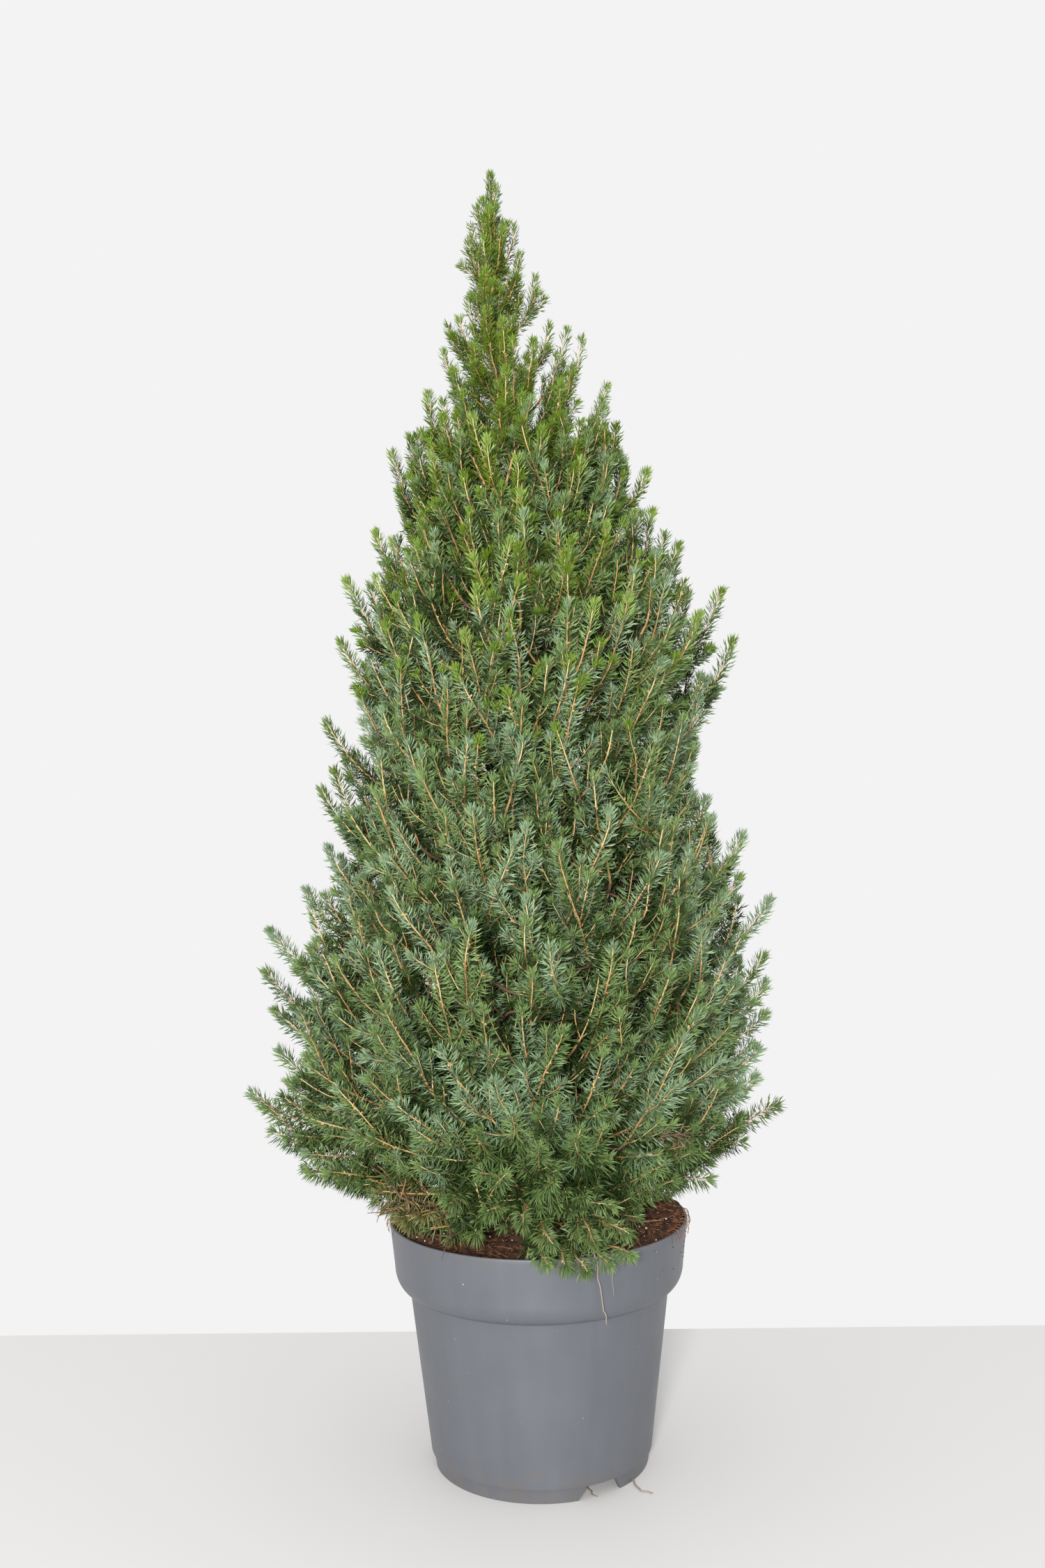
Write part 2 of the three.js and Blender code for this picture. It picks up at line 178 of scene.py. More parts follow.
def pot_material():
    m = principled("pot_plastic", (0.2, 0.21, 0.235), 0.5, 0.55)
    t = m.node_tree
    N, L, b = t.nodes, t.links, t.nodes["Principled BSDF"]
    co = N.new("ShaderNodeTexCoord")
    streak = N.new("ShaderNodeMapping")
    streak.inputs["Scale"].default_value = (60, 60, 5)
    L.new(co.outputs["Object"], streak.inputs["Vector"])
    n1 = N.new("ShaderNodeTexNoise")
    n1.inputs["Scale"].default_value = 1.0
    n1.inputs["Detail"].default_value = 5
    L.new(streak.outputs["Vector"], n1.inputs["Vector"])
    n2 = N.new("ShaderNodeTexNoise")
    n2.inputs["Scale"].default_value = 14
    n2.inputs["Detail"].default_value = 6
    L.new(co.outputs["Object"], n2.inputs["Vector"])
    mix = N.new("ShaderNodeMix")
    mix.data_type = "FLOAT"
    mix.inputs["Factor"].default_value = 0.45
    L.new(n1.outputs["Fac"], mix.inputs["A"])
    L.new(n2.outputs["Fac"], mix.inputs["B"])
    ramp = N.new("ShaderNodeValToRGB")
    ramp.color_ramp.elements[0].position = 0.36
    ramp.color_ramp.elements[0].color = (0.081, 0.088, 0.102, 1)
    ramp.color_ramp.elements[1].position = 0.66
    ramp.color_ramp.elements[1].color = (0.092, 0.099, 0.114, 1)
    L.new(mix.outputs["Result"], ramp.inputs["Fac"])
    # dust and small pale scuffs
    n3 = N.new("ShaderNodeTexNoise")
    n3.inputs["Scale"].default_value = 170
    n3.inputs["Detail"].default_value = 3
    L.new(co.outputs["Object"], n3.inputs["Vector"])
    scuff = N.new("ShaderNodeMapRange")
    scuff.inputs["From Min"].default_value = 0.748
    scuff.inputs["From Max"].default_value = 0.788
    L.new(n3.outputs["Fac"], scuff.inputs["Value"])
    pale = N.new("ShaderNodeMix")
    pale.data_type = "RGBA"
    pale.inputs["B"].default_value = (0.42, 0.41, 0.39, 1)
    L.new(scuff.outputs["Result"], pale.inputs["Factor"])
    L.new(ramp.outputs["Color"], pale.inputs["A"])
    # brown dust that has washed down from the rim and splashed up from the ground
    n4 = N.new("ShaderNodeTexNoise")
    n4.inputs["Scale"].default_value = 38
    n4.inputs["Detail"].default_value = 7
    n4.inputs["Roughness"].default_value = 0.7
    L.new(co.outputs["Object"], n4.inputs["Vector"])
    sep = N.new("ShaderNodeSeparateXYZ")
    L.new(co.outputs["Object"], sep.inputs["Vector"])
    foot = N.new("ShaderNodeMapRange")
    foot.inputs["From Min"].default_value = 0.0
    foot.inputs["From Max"].default_value = 0.06
    foot.inputs["To Min"].default_value = 0.62
    foot.inputs["To Max"].default_value = 0.40
    L.new(sep.outputs["Z"], foot.inputs["Value"])
    top = N.new("ShaderNodeMapRange")
    top.inputs["From Min"].default_value = 0.265
    top.inputs["From Max"].default_value = 0.284
    top.inputs["To Min"].default_value = 0.0
    top.inputs["To Max"].default_value = 0.14
    L.new(sep.outputs["Z"], top.inputs["Value"])
    level = N.new("ShaderNodeMath")
    level.operation = "ADD"
    L.new(foot.outputs["Result"], level.inputs[0])
    L.new(top.outputs["Result"], level.inputs[1])
    dirt = N.new("ShaderNodeMath")
    dirt.operation = "SUBTRACT"
    L.new(n4.outputs["Fac"], dirt.inputs[1])
    L.new(level.outputs["Value"], dirt.inputs[0])
    dirt_amount = N.new("ShaderNodeMapRange")
    dirt_amount.inputs["From Min"].default_value = 0.0
    dirt_amount.inputs["From Max"].default_value = 0.2
    dirt_amount.inputs["To Max"].default_value = 0.45
    L.new(dirt.outputs["Value"], dirt_amount.inputs["Value"])
    brown = N.new("ShaderNodeMix")
    brown.data_type = "RGBA"
    brown.inputs["B"].default_value = (0.115, 0.092, 0.072, 1)
    L.new(dirt_amount.outputs["Result"], brown.inputs["Factor"])
    L.new(pale.outputs["Result"], brown.inputs["A"])
    L.new(brown.outputs["Result"], b.inputs["Base Color"])
    rough = N.new("ShaderNodeMapRange")
    rough.inputs["From Min"].default_value = 0.3
    rough.inputs["From Max"].default_value = 0.7
    rough.inputs["To Min"].default_value = 0.35
    rough.inputs["To Max"].default_value = 0.49
    L.new(n2.outputs["Fac"], rough.inputs["Value"])
    L.new(rough.outputs["Result"], b.inputs["Roughness"])
    grain = N.new("ShaderNodeTexNoise")
    grain.inputs["Scale"].default_value = 900
    grain.inputs["Detail"].default_value = 2
    L.new(co.outputs["Object"], grain.inputs["Vector"])
    bump = N.new("ShaderNodeBump")
    bump.inputs["Strength"].default_value = 0.12
    bump.inputs["Distance"].default_value = 0.0004
    L.new(grain.outputs["Fac"], bump.inputs["Height"])
    bump2 = N.new("ShaderNodeBump")
    bump2.inputs["Strength"].default_value = 0.18
    bump2.inputs["Distance"].default_value = 0.0012
    L.new(n1.outputs["Fac"], bump2.inputs["Height"])
    L.new(bump.outputs["Normal"], bump2.inputs["Normal"])
    L.new(bump2.outputs["Normal"], b.inputs["Normal"])
    return m


def earth_material(name, dark, light, scale, rough=0.95, bump=0.5, dist=0.002):
    m = principled(name, light, rough, 0.25)
    t = m.node_tree
    N, L, b = t.nodes, t.links, t.nodes["Principled BSDF"]
    co = N.new("ShaderNodeTexCoord")
    n = N.new("ShaderNodeTexNoise")
    n.inputs["Scale"].default_value = scale
    n.inputs["Detail"].default_value = 8
    n.inputs["Roughness"].default_value = 0.72
    L.new(co.outputs["Object"], n.inputs["Vector"])
    ramp = N.new("ShaderNodeValToRGB")
    ramp.color_ramp.elements[0].position = 0.34
    ramp.color_ramp.elements[0].color = (*dark, 1)
    ramp.color_ramp.elements[1].position = 0.68
    ramp.color_ramp.elements[1].color = (*light, 1)
    L.new(n.outputs["Fac"], ramp.inputs["Fac"])
    L.new(ramp.outputs["Color"], b.inputs["Base Color"])
    bp = N.new("ShaderNodeBump")
    bp.inputs["Strength"].default_value = bump
    bp.inputs["Distance"].default_value = dist
    L.new(n.outputs["Fac"], bp.inputs["Height"])
    L.new(bp.outputs["Normal"], b.inputs["Normal"])
    return m


def bark_material():
    m = principled("bark", (0.2, 0.13, 0.09), 0.88, 0.2)
    t = m.node_tree
    N, L, b = t.nodes, t.links, t.nodes["Principled BSDF"]
    co = N.new("ShaderNodeTexCoord")
    mp = N.new("ShaderNodeMapping")
    mp.inputs["Scale"].default_value = (220, 220, 60)
    L.new(co.outputs["Object"], mp.inputs["Vector"])
    n = N.new("ShaderNodeTexNoise")
    n.inputs["Scale"].default_value = 1.0
    n.inputs["Detail"].default_value = 8
    n.inputs["Roughness"].default_value = 0.7
    L.new(mp.outputs["Vector"], n.inputs["Vector"])
    ramp = N.new("ShaderNodeValToRGB")
    e = ramp.color_ramp.elements
    e[0].position, e[0].color = 0.30, (0.045, 0.028, 0.020, 1)
    e[1].position, e[1].color = 0.72, (0.30, 0.21, 0.145, 1)
    mid = e.new(0.5)
    mid.color = (0.16, 0.098, 0.066, 1)
    L.new(n.outputs["Fac"], ramp.inputs["Fac"])
    L.new(ramp.outputs["Color"], b.inputs["Base Color"])
    bp = N.new("ShaderNodeBump")
    bp.inputs["Strength"].default_value = 0.6
    bp.inputs["Distance"].default_value = 0.0015
    L.new(n.outputs["Fac"], bp.inputs["Height"])
    L.new(bp.outputs["Normal"], b.inputs["Normal"])
    return m


POT_MAT = pot_material()
SOIL_MAT = earth_material("peat", (0.016, 0.008, 0.005), (0.105, 0.048, 0.026), 120)
BARK_MAT = bark_material()

# Needle colours, dealt out shoot by shoot; the darkest green is for old needles and is also painted shade inside the
# crown
NEEDLE = {
    "fresh": (0.186, 0.276, 0.052),
    "lime": (0.130, 0.211, 0.029),
    "top": (0.090, 0.145, 0.008),
    "moss": (0.071, 0.111, 0.010),
    "leaf": (0.144, 0.221, 0.071),
    "green": (0.088, 0.147, 0.043),
    "low": (0.080, 0.121, 0.030),
    "blue_light": (0.180, 0.266, 0.147),
    "blue": (0.101, 0.163, 0.081),
    # darkest green: old needles, and painted shade for shoots deep in the crown
    "old_and_shade": (0.022, 0.042, 0.009),
    "pale": (0.130, 0.130, 0.040),
    "dry": (0.120, 0.072, 0.042),
}
NEEDLE_MAT = {k: principled("needle_" + k, v, 0.5, 0.16 if k in ("top", "moss", "lime", "old_and_shade") else 0.35) for k, v in NEEDLE.items()}
TWIG = {
    "cream": (0.565, 0.430, 0.205),
    "tan": (0.430, 0.275, 0.108),
    "orange": (0.325, 0.180, 0.066),
    "brown": (0.115, 0.070, 0.044),
}
TWIG_MAT = {k: principled("twig_" + k, v, 0.7, 0.3) for k, v in TWIG.items()}

# ---------------------------------------------------------------- pot

def lathe(profile, segments, closed=False):
    pr = np.asarray(profile, float)
    a = np.arange(segments) * TAU / segments
    v = np.stack([pr[:, None, 0] * np.cos(a), pr[:, None, 0] * np.sin(a), np.repeat(pr[:, 1:2], segments, 1)], -1)
    n = len(pr)
    j = np.arange(segments)
    k = (j + 1) % segments
    quads = []
    for i in range(n if closed else n - 1):
        i2 = (i + 1) % n
        quads.append(np.stack([i * segments + j, i * segments + k, i2 * segments + k, i2 * segments + j], -1))
    return v.reshape(-1, 3), np.concatenate(quads)


def arc(cx, cz, rx, rz, a0, a1, n):
    a = np.radians(np.linspace(a0, a1, n))
    return [(cx + rx * math.cos(t), cz + rz * math.sin(t)) for t in a]


def build_pot():
    w = 0.0022
    band = [(NECK_R + (BAND_LOW_R - NECK_R) * math.cos(t), BAND_LOW_Z - (BAND_LOW_Z - NECK_Z) * math.sin(t)) for t in np.linspace(math.pi / 2, 0, 14)]
    outside = [
        (FOOT_R - 0.0006, 0.0), (FOOT_R, 0.0006), (FOOT_R + 0.0004, 0.004), (FOOT_TOP_R - 0.0002, BEAD_Z - 0.0012), (FOOT_TOP_R + 0.0002, BEAD_Z - 0.0003),
        (BASE_R - 0.0009, BEAD_Z - 0.0001), (BASE_R - 0.0002, BEAD_Z + 0.0003), (BASE_R, BEAD_Z + 0.0011), (BASE_R + 0.0005, BEAD_Z + 0.006),
    ]
    for t in (0.25, 0.5, 0.75, 0.97):
        outside.append((BASE_R + 0.0005 + (NECK_R - BASE_R - 0.0008) * t, BEAD_Z + 0.006 + (NECK_Z - BEAD_Z - 0.008) * t))
    outside.append((NECK_R - 0.0002, NECK_Z - 0.0012))
    outside += band
    for t in (0.3, 0.6, 0.9):
        outside.append((BAND_LOW_R + (RIM_R - BAND_LOW_R) * t, BAND_LOW_Z + (POT_H - BAND_LOW_Z) * t))
    rim = arc(RIM_R - 0.0014, POT_H - 0.0014, 0.0014, 0.0014, 0, 90, 4)
    rim += arc(RIM_R - w - 0.0002, POT_H - 0.0012, 0.0010, 0.0012, 90, 180, 4)
    inside = [(BAND_LOW_R - w + 0.0004, BAND_LOW_Z)] + [(r - w, z + 0.0012) for r, z in band[::-1][2:-1:2]]
    inside += [(NECK_R - w - 0.0004, NECK_Z - 0.002), (BASE_R - w, 0.0195), (0.06, 0.0195), (0.0, 0.0195)]
    under = [(0.0, 0.0155), (0.05, 0.0152), (FOOT_IN_R - 0.004, 0.0152), (FOOT_IN_R - 0.0005, 0.0140), (FOOT_IN_R + 0.0003, 0.0006), (FOOT_IN_R + 0.0010, 0.0)]
    profile = under + outside + rim + inside
    v, f = lathe(profile, 240)
    # both ends of the outline lie on the axis, so their rings close to points there
    ob = mesh_object("pot_shell", v, f, POT_MAT)
    import bmesh
    bm = bmesh.new()
    bm.from_mesh(ob.data)
    bmesh.ops.remove_doubles(bm, verts=bm.verts, dist=1e-6)
    bmesh.ops.recalc_face_normals(bm, faces=bm.faces)
    bm.to_mesh(ob.data)
    bm.free()
    # drain notches: wider at the ground, through the foot ring
    vs, fs = [], []
    for i in range(3):
        a = math.radians(-58 + 120 * i)
        out = np.array([math.cos(a), math.sin(a), 0])
        side = np.array([-math.sin(a), math.cos(a), 0])
        up = np.array([0, 0, 1.0])
        sec = [(-0.0285, -0.003), (0.0285, -0.003), (0.0280, 0.0004), (0.0208, 0.0140), (0.0192, 0.0155), (-0.0192, 0.0155), (-0.0208, 0.0140), (-0.0280, 0.0004)]
        n = len(sec)
        base = len(vs)
        for d in (0.098, 0.137):
            vs += [out * d + side * x + up * z for x, z in sec]
        fs.append([base + k for k in range(n)][::-1])
        fs.append([base + n + k for k in range(n)])
        fs += [[base + k, base + (k + 1) % n, base + n + (k + 1) % n, base + n + k] for k in range(n)]
    me = bpy.data.meshes.new("notch_cutter")
    me.from_pydata([tuple(p) for p in vs], [], fs)
    bm = bmesh.new()
    bm.from_mesh(me)
    bmesh.ops.recalc_face_normals(bm, faces=bm.faces)
    bm.to_mesh(me)
    bm.free()
    cutter = bpy.data.objects.new("notch_cutter", me)
    scene.collection.objects.link(cutter)
    mod = ob.modifiers.new("notches", "BOOLEAN")
    mod.operation = "DIFFERENCE"
    mod.solver = "EXACT"
    mod.object = cutter
    dg = bpy.context.evaluated_depsgraph_get()
    done = bpy.data.meshes.new_from_object(ob.evaluated_get(dg))
    ob.modifiers.clear()
    old = ob.data
    ob.data = done
    bpy.data.meshes.remove(old)
    bpy.data.objects.remove(cutter)
    bpy.data.meshes.remove(me)
    ob.data.name = "pot_shell"
    # smooth faces, with the true edges kept sharp
    bm = bmesh.new()
    bm.from_mesh(ob.data)
    for fc in bm.faces:
        fc.smooth = True
    for e in bm.edges:
        e.smooth = len(e.link_faces) == 2 and e.calc_face_angle(0) < math.radians(38)
    bm.to_mesh(ob.data)
    bm.free()
    piece(ob, "pot")
    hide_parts("pot")
    return ob


build_pot()

# ---------------------------------------------------------------- soil

def soil_height(x, y):
    """The surface of the soil, in metres: heaped at both sides, sunk behind the rim at the front."""
    r = np.hypot(x, y)
    a = np.arctan2(y, x)
    base = np.interp(r, [0, 0.03, 0.06, 0.10, 0.14, 0.163, 0.171], [0.2945, 0.2943, 0.2905, 0.2860, 0.2805, 0.2765, 0.2725])
    side = smooth(0.04, 0.15, r)
    heap = 0.0085 * np.cos(2 * a) + 0.004 * np.sin(a) + 0.0022 * np.sin(5 * a + 1) + 0.005 * np.maximum(0, np.cos(a)) ** 2
    p = np.stack([x, y, np.zeros_like(x)], -1)
    lumps = 0.0042 * fbm(p * 38, 3, 5) + 0.0022 * fbm(p * 150, 3, 9)
    return base + side * heap + lumps * smooth(0.0, 0.02, 0.178 - r)


def build_soil():
    rings, seg = 84, 220
    rr = np.concatenate([np.linspace(0.004, 0.1700, rings)])
    a = np.arange(seg) * TAU / seg
    x = rr[:, None] * np.cos(a)
    y = rr[:, None] * np.sin(a)
    z = soil_height(x, y)
    top = np.stack([x, y, z], -1).reshape(-1, 3)
    rim_x, rim_y = 0.1668 * np.cos(a), 0.1668 * np.sin(a)
    low = np.stack([rim_x, rim_y, np.full(seg, 0.236)], -1)
    v = np.concatenate([top, low, [[0, 0, float(soil_height(np.array([0.0]), np.array([0.0]))[0])], [0, 0, 0.236]]])
    j = np.arange(seg)
    k = (j + 1) % seg
    quads = [np.stack([i * seg + j, (i + 1) * seg + j, (i + 1) * seg + k, i * seg + k], -1) for i in range(rings)]
    c0, c1 = len(v) - 2, len(v) - 1
    tri = [np.stack([np.full(seg, c0), j, k], -1), np.stack([np.full(seg, c1), rings * seg + k, rings * seg + j], -1)]
    ob = mesh_object("soil_surface", v, [np.concatenate(quads), np.concatenate(tri)], SOIL_MAT)
    piece(ob, "soil")
    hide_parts("soil")


build_soil()

# ---------------------------------------------------------------- tubes

class Tubes:
    """Tapering tubes of one colour, joined into one mesh."""

    def __init__(self):
        self.parts = {}

    def add(self, P, r, sides=4):
        P = np.asarray(P, float)
        self.parts.setdefault((len(P), sides), []).append((P, np.broadcast_to(r, len(P))))

    def arrays(self):
        V, Q, T, base = [], [], [], 0
        for (k, s), items in sorted(self.parts.items()):
            P = np.array([p for p, _ in items])
            R = np.array([r for _, r in items])
            m = len(P)
            tan = np.empty_like(P)
            tan[:, 1:-1] = P[:, 2:] - P[:, :-2]
            tan[:, 0] = P[:, 1] - P[:, 0]
            tan[:, -1] = P[:, -1] - P[:, -2]
            tan = unit(tan)
            mean = unit(P[:, -1] - P[:, 0])
            ref = np.where(np.abs(mean[:, 2:3]) < 0.8, [[0, 0, 1.0]], [[1.0, 0, 0]])
            u = unit(np.cross(tan, ref[:, None]))
            w = np.cross(tan, u)
            a = np.arange(s) * TAU / s
            v = P[:, :, None] + R[:, :, None, None] * (u[:, :, None] * np.cos(a)[None, None, :, None] + w[:, :, None] * np.sin(a)[None, None, :, None])
            v = v.reshape(m, k * s, 3)
            v = np.concatenate([v, (P[:, -1] + tan[:, -1] * R[:, -1, None])[:, None]], 1)
            j = np.arange(s)
            q = np.concatenate([np.stack([i * s + j, i * s + (j + 1) % s, (i + 1) * s + (j + 1) % s, (i + 1) * s + j], -1) for i in range(k - 1)])
            t = np.stack([(k - 1) * s + j, (k - 1) * s + (j + 1) % s, np.full(s, k * s)], -1)
            off = base + np.arange(m)[:, None, None] * (k * s + 1)
            V.append(v.reshape(-1, 3))
            Q.append((q[None] + off).reshape(-1, 4))
            T.append((t[None] + off).reshape(-1, 3))
            base += m * (k * s + 1)
        return np.concatenate(V), [np.concatenate(Q), np.concatenate(T)]

    def build(self, name, material, slot):
        if not self.parts:
            return None
        v, f = self.arrays()
        return piece(mesh_object(name, v, f, material), slot)


# ---------------------------------------------------------------- what lies on the soil, and the roots

ICO = unit(np.array([(-1, 1.618, 0), (1, 1.618, 0), (-1, -1.618, 0), (1, -1.618, 0), (0, -1, 1.618), (0, 1, 1.618), (0, -1, -1.618), (0, 1, -1.618),
                     (1.618, 0, -1), (1.618, 0, 1), (-1.618, 0, -1), (-1.618, 0, 1)], float))
ICO_FACES = np.array([(0, 11, 5), (0, 5, 1), (0, 1, 7), (0, 7, 10), (0, 10, 11), (1, 5, 9), (5, 11, 4), (11, 10, 2), (10, 7, 6), (7, 1, 8),
                      (3, 9, 4), (3, 4, 2), (3, 2, 6), (3, 6, 8), (3, 8, 9), (4, 9, 5), (2, 4, 11), (6, 2, 10), (8, 6, 7), (9, 8, 1)])


def lumps(name, centres, sizes, material, slot, flat=0.7, rough=0.22):
    """Small uneven lumps, joined into one mesh."""
    m = len(centres)
    v = ICO[None] * (1 + rng.normal(0, rough, (m, 12, 1)))
    q, _ = np.linalg.qr(rng.normal(0, 1, (m, 3, 3)))
    stretch = np.stack([np.ones(m), 0.55 + 0.4 * rng.random(m), 0.45 + 0.4 * rng.random(m)], -1)
    v = np.einsum("mvi,mij->mvj", v * stretch[:, None], q)
    v[..., 2] *= flat
    v = v * np.asarray(sizes)[:, None, None] + np.asarray(centres)[:, None]
    f = ICO_FACES[None] + np.arange(m)[:, None, None] * 12
    return piece(mesh_object(name, v.reshape(-1, 3), f.reshape(-1, 3), material, False), slot)


def on_soil(count, r0=0.045, r1=0.1665):
    r = np.sqrt(r0**2 + (r1**2 - r0**2) * rng.random(count))
    a = TAU * rng.random(count)
    x, y = r * np.cos(a), r * np.sin(a)
    return np.stack([x, y, soil_height(x, y)], -1)


def build_litter():
    dark = principled("peat_dark", (0.030, 0.014, 0.009), 0.95, 0.2)
    red = principled("coir_red", (0.120, 0.050, 0.026), 0.9, 0.2)
    fibre = principled("coir_fibre", (0.270, 0.130, 0.062), 0.8, 0.3)
    perlite = principled("perlite", (0.78, 0.77, 0.73), 0.8, 0.3)
    root = principled("root", (0.300, 0.245, 0.195), 0.8, 0.3)
    for name, mat, n, lo, hi in (("soil_crumbs_dark", dark, 800, 0.0010, 0.0036), ("soil_crumbs_red", red, 1100, 0.0010, 0.0042)):
        c = on_soil(n)
        size = lo + (hi - lo) * rng.random(n) ** 2.2
        c[:, 2] += size * 0.25
        lumps(name, c, size, mat, "soil")
    c = on_soil(95)
    c[:, 2] += 0.0009
    lumps("perlite", c, 0.0008 + 0.0010 * rng.random(95), perlite, "soil", 0.85, 0.12)
    fibres = {0: Tubes(), 1: Tubes()}
    for p in on_soil(950, 0.05, 0.163):
        a = TAU * rng.random()
        L = 0.008 + 0.020 * rng.random() ** 1.5
        d = np.array([math.cos(a), math.sin(a), rng.normal(0.1, 0.22)])
        P = [p + [0, 0, 0.0006]]
        for k in range(4):
            d = unit(d + rng.normal(0, 0.28, 3) + [0, 0, -0.05])
            q = P[-1] + d * L / 4
            rr = math.hypot(q[0], q[1])
            if rr > 0.1668:
                q[:2] *= 0.1668 / rr
            q[2] = max(q[2], float(soil_height(np.array([q[0]]), np.array([q[1]]))[0]) + 0.0004)
            P.append(q)
        fibres[int(rng.random() < 0.45)].add(np.array(P), np.linspace(0.00042, 0.00022, 5), 3)
    # fibres and fine roots that hang over the rim at both sides
    for i in range(30):
        a = math.radians(rng.uniform(-34, 4) if i < 21 else rng.uniform(180, 204))
        drop = 0.004 + 0.017 * rng.random() ** 1.7 if i < 21 else 0.006
        c, s = math.cos(a), math.sin(a)
        P = []
        for r, z in ((0.164, 0.2835), (0.1705, 0.2868), (0.1768, 0.2856), (0.1785, 0.2835 - drop * 0.5), (0.1775, 0.2835 - drop)):
            P.append([r * c + rng.normal(0, 0.0012) * s, r * s + rng.normal(0, 0.0012) * c, z + rng.normal(0, 0.0004)])
        fibres[int(rng.random() < 0.5)].add(np.array(P), np.linspace(0.0005, 0.00025, 5), 3)
    fibres[0].build("soil_fibres", fibre, "soil")
    fibres[1].build("soil_fibres_red", red, "soil")
    # roots: one that hangs down the front, a finer one beside it, and two that come out under the pot
    roots = Tubes()
    for line, r0, r1 in (
        ([(58, -160, 287.5), (61, -166, 288), (62.5, -167.5, 283), (64, -166.0, 267), (66.2, -164.6, 249), (69.6, -162.6, 229.4), (71.4, -161.6, 219), (73.1, -160.9, 210)], 0.9, 0.45),
        ([(79, -153, 287), (80.5, -158.5, 286), (81, -158.0, 274), (80.6, -157.6, 256), (81.4, -157.4, 239.4)], 0.5, 0.25),
        ([(45, -84, 4), (50.5, -89, 1.6), (54, -96, 1.0), (56, -106, 1.0), (61.2, -111, 1.0)], 0.9, 0.5),
        ([(100, -66, 2.0), (104.6, -76, 1.0), (107, -90, 1.0), (111.4, -98.6, 1.0), (118, -100.4, 1.0), (123.5, -104, 1.0)], 1.0, 0.6),
    ):
        line = np.array(line) / 1000
        t = np.linspace(0, len(line) - 1, 4 * len(line))
        P = np.stack([np.interp(t, np.arange(len(line)), line[:, k]) for k in range(3)], -1)
        P[1:-1] = (P[:-2] + 2 * P[1:-1] + P[2:]) / 4
        P[3:-1] += np.stack([0.0007 * np.sin(t[3:-1] * 3.4) + rng.normal(0, 0.00022, len(P) - 4), 0 * t[3:-1], 0 * t[3:-1]], -1)
        roots.add(P, np.linspace(r0, r1, len(P)) / 1000, 6)
    roots.build("roots", root, "bark")
    # dirt caught on the rim and in the crease under the band, at the right
    a = np.radians(rng.uniform(-48, -2, 34))
    z = np.where(np.arange(34) < 16, 0.2085 + 0.003 * rng.random(34), 0.236 + 0.044 * rng.random(34))
    r = np.where(np.arange(34) < 16, NECK_R + 0.0035, BAND_LOW_R + (z - BAND_LOW_Z) / (POT_H - BAND_LOW_Z) * (RIM_R - BAND_LOW_R) + 0.0002)
    lumps("rim_dirt", np.stack([r * np.cos(a), r * np.sin(a), z], -1), 0.0004 + 0.0007 * rng.random(34), dark, "soil")


build_litter()

# ---------------------------------------------------------------- trunk and boughs

def places(tier):
    name, base, slope, inner, b0, b1, bz, front, back = tier
    out = [("right", 0.0)] + [(f"back_{i}", 180 * i / (back + 1)) for i in range(1, back + 1)]
    return out + [("left", 180.0)] + [(f"front_{i}", 180 + 180 * i / (front + 1)) for i in range(1, front + 1)]


def bough_lines():
    """The centre lines and radii of the CAD boughs, worked out as they are there."""
    lines = []
    for t, tier in enumerate(TIERS[:3]):
        name, base, slope, inner, b0, b1, bz, front, back = tier
        above = TIERS[t + 1]
        for i, (where, deg) in enumerate(places(tier)):
            seed = 17 * t + 3 * i + 1
            az = math.radians(deg + 2 * scatter(seed, 1))
            z0 = bz + 9 * scatter(seed, 2)
            z1 = (base + above[1]) / 2 + (slope + above[2]) / 2 * inner - 8
            r0 = float(stem_radius((z0 - b0) / 1000)) * 1000 + 1.2
            r1 = inner - 1.2
            s = np.linspace(0, 1, 15)
            r = r0 + (r1 - r0) * s
            z = z0 + (z1 - z0) * s**1.15
            rad = (b0 + (b1 - b0) * s) / 1000
            P = np.stack([stem_x(z / 1000) + r / 1000 * math.cos(az), r / 1000 * math.sin(az), z / 1000], -1)
            lines.append((f"bough_{name}_{where}", P, rad, az))
    return lines


BOUGH_LINES = bough_lines()


def bark_tube(P, R, sides, relief, seed, flare=None):
    """A limb with furrowed, scaly bark in its shape."""
    P = np.asarray(P)
    n = len(P)
    tan = unit(np.gradient(P, axis=0))
    ref = np.array([0, 0, 1.0]) if abs(tan[n // 2, 2]) < 0.8 else np.array([1.0, 0, 0])
    u = unit(np.cross(tan, ref))
    w = np.cross(tan, u)
    a = np.arange(sides) * TAU / sides
    dirs = u[:, None] * np.cos(a)[None, :, None] + w[:, None] * np.sin(a)[None, :, None]
    base = P[:, None] + dirs * R[:, None, None]
    along = np.concatenate([[0], np.cumsum(np.linalg.norm(np.diff(P, axis=0), axis=1))])
    q = np.stack([np.cos(a)[None, :] * R[:, None], np.sin(a)[None, :] * R[:, None], np.repeat(along[:, None] * 0.28, sides, 1)], -1)
    furrow = fbm(q * 260, 4, seed)
    scales = np.abs(fbm(q * np.array([120, 120, 420]), 3, seed + 3))
    d = relief * (furrow * 0.8 - scales * 0.9)
    if flare is not None:
        d = d + flare(a[None, :], along[:, None])
    v = base + dirs * d[..., None]
    j = np.arange(sides)
    k = (j + 1) % sides
    quads = np.concatenate([np.stack([i * sides + j, i * sides + k, (i + 1) * sides + k, (i + 1) * sides + j], -1) for i in range(n - 1)])
    v = np.concatenate([v.reshape(-1, 3), P[:1], P[-1:]])
    c0, c1 = len(v) - 2, len(v) - 1
    tri = np.concatenate([np.stack([np.full(sides, c0), k, j], -1), np.stack([np.full(sides, c1), (n - 1) * sides + j, (n - 1) * sides + k], -1)])
    return v, quads, tri


def join(parts):
    V, Q, T, base = [], [], [], 0
    for v, q, t in parts:
        V.append(v)
        Q.append(q + base)
        T.append(t + base)
        base += len(v)
    return np.concatenate(V), [np.concatenate(Q), np.concatenate(T)]


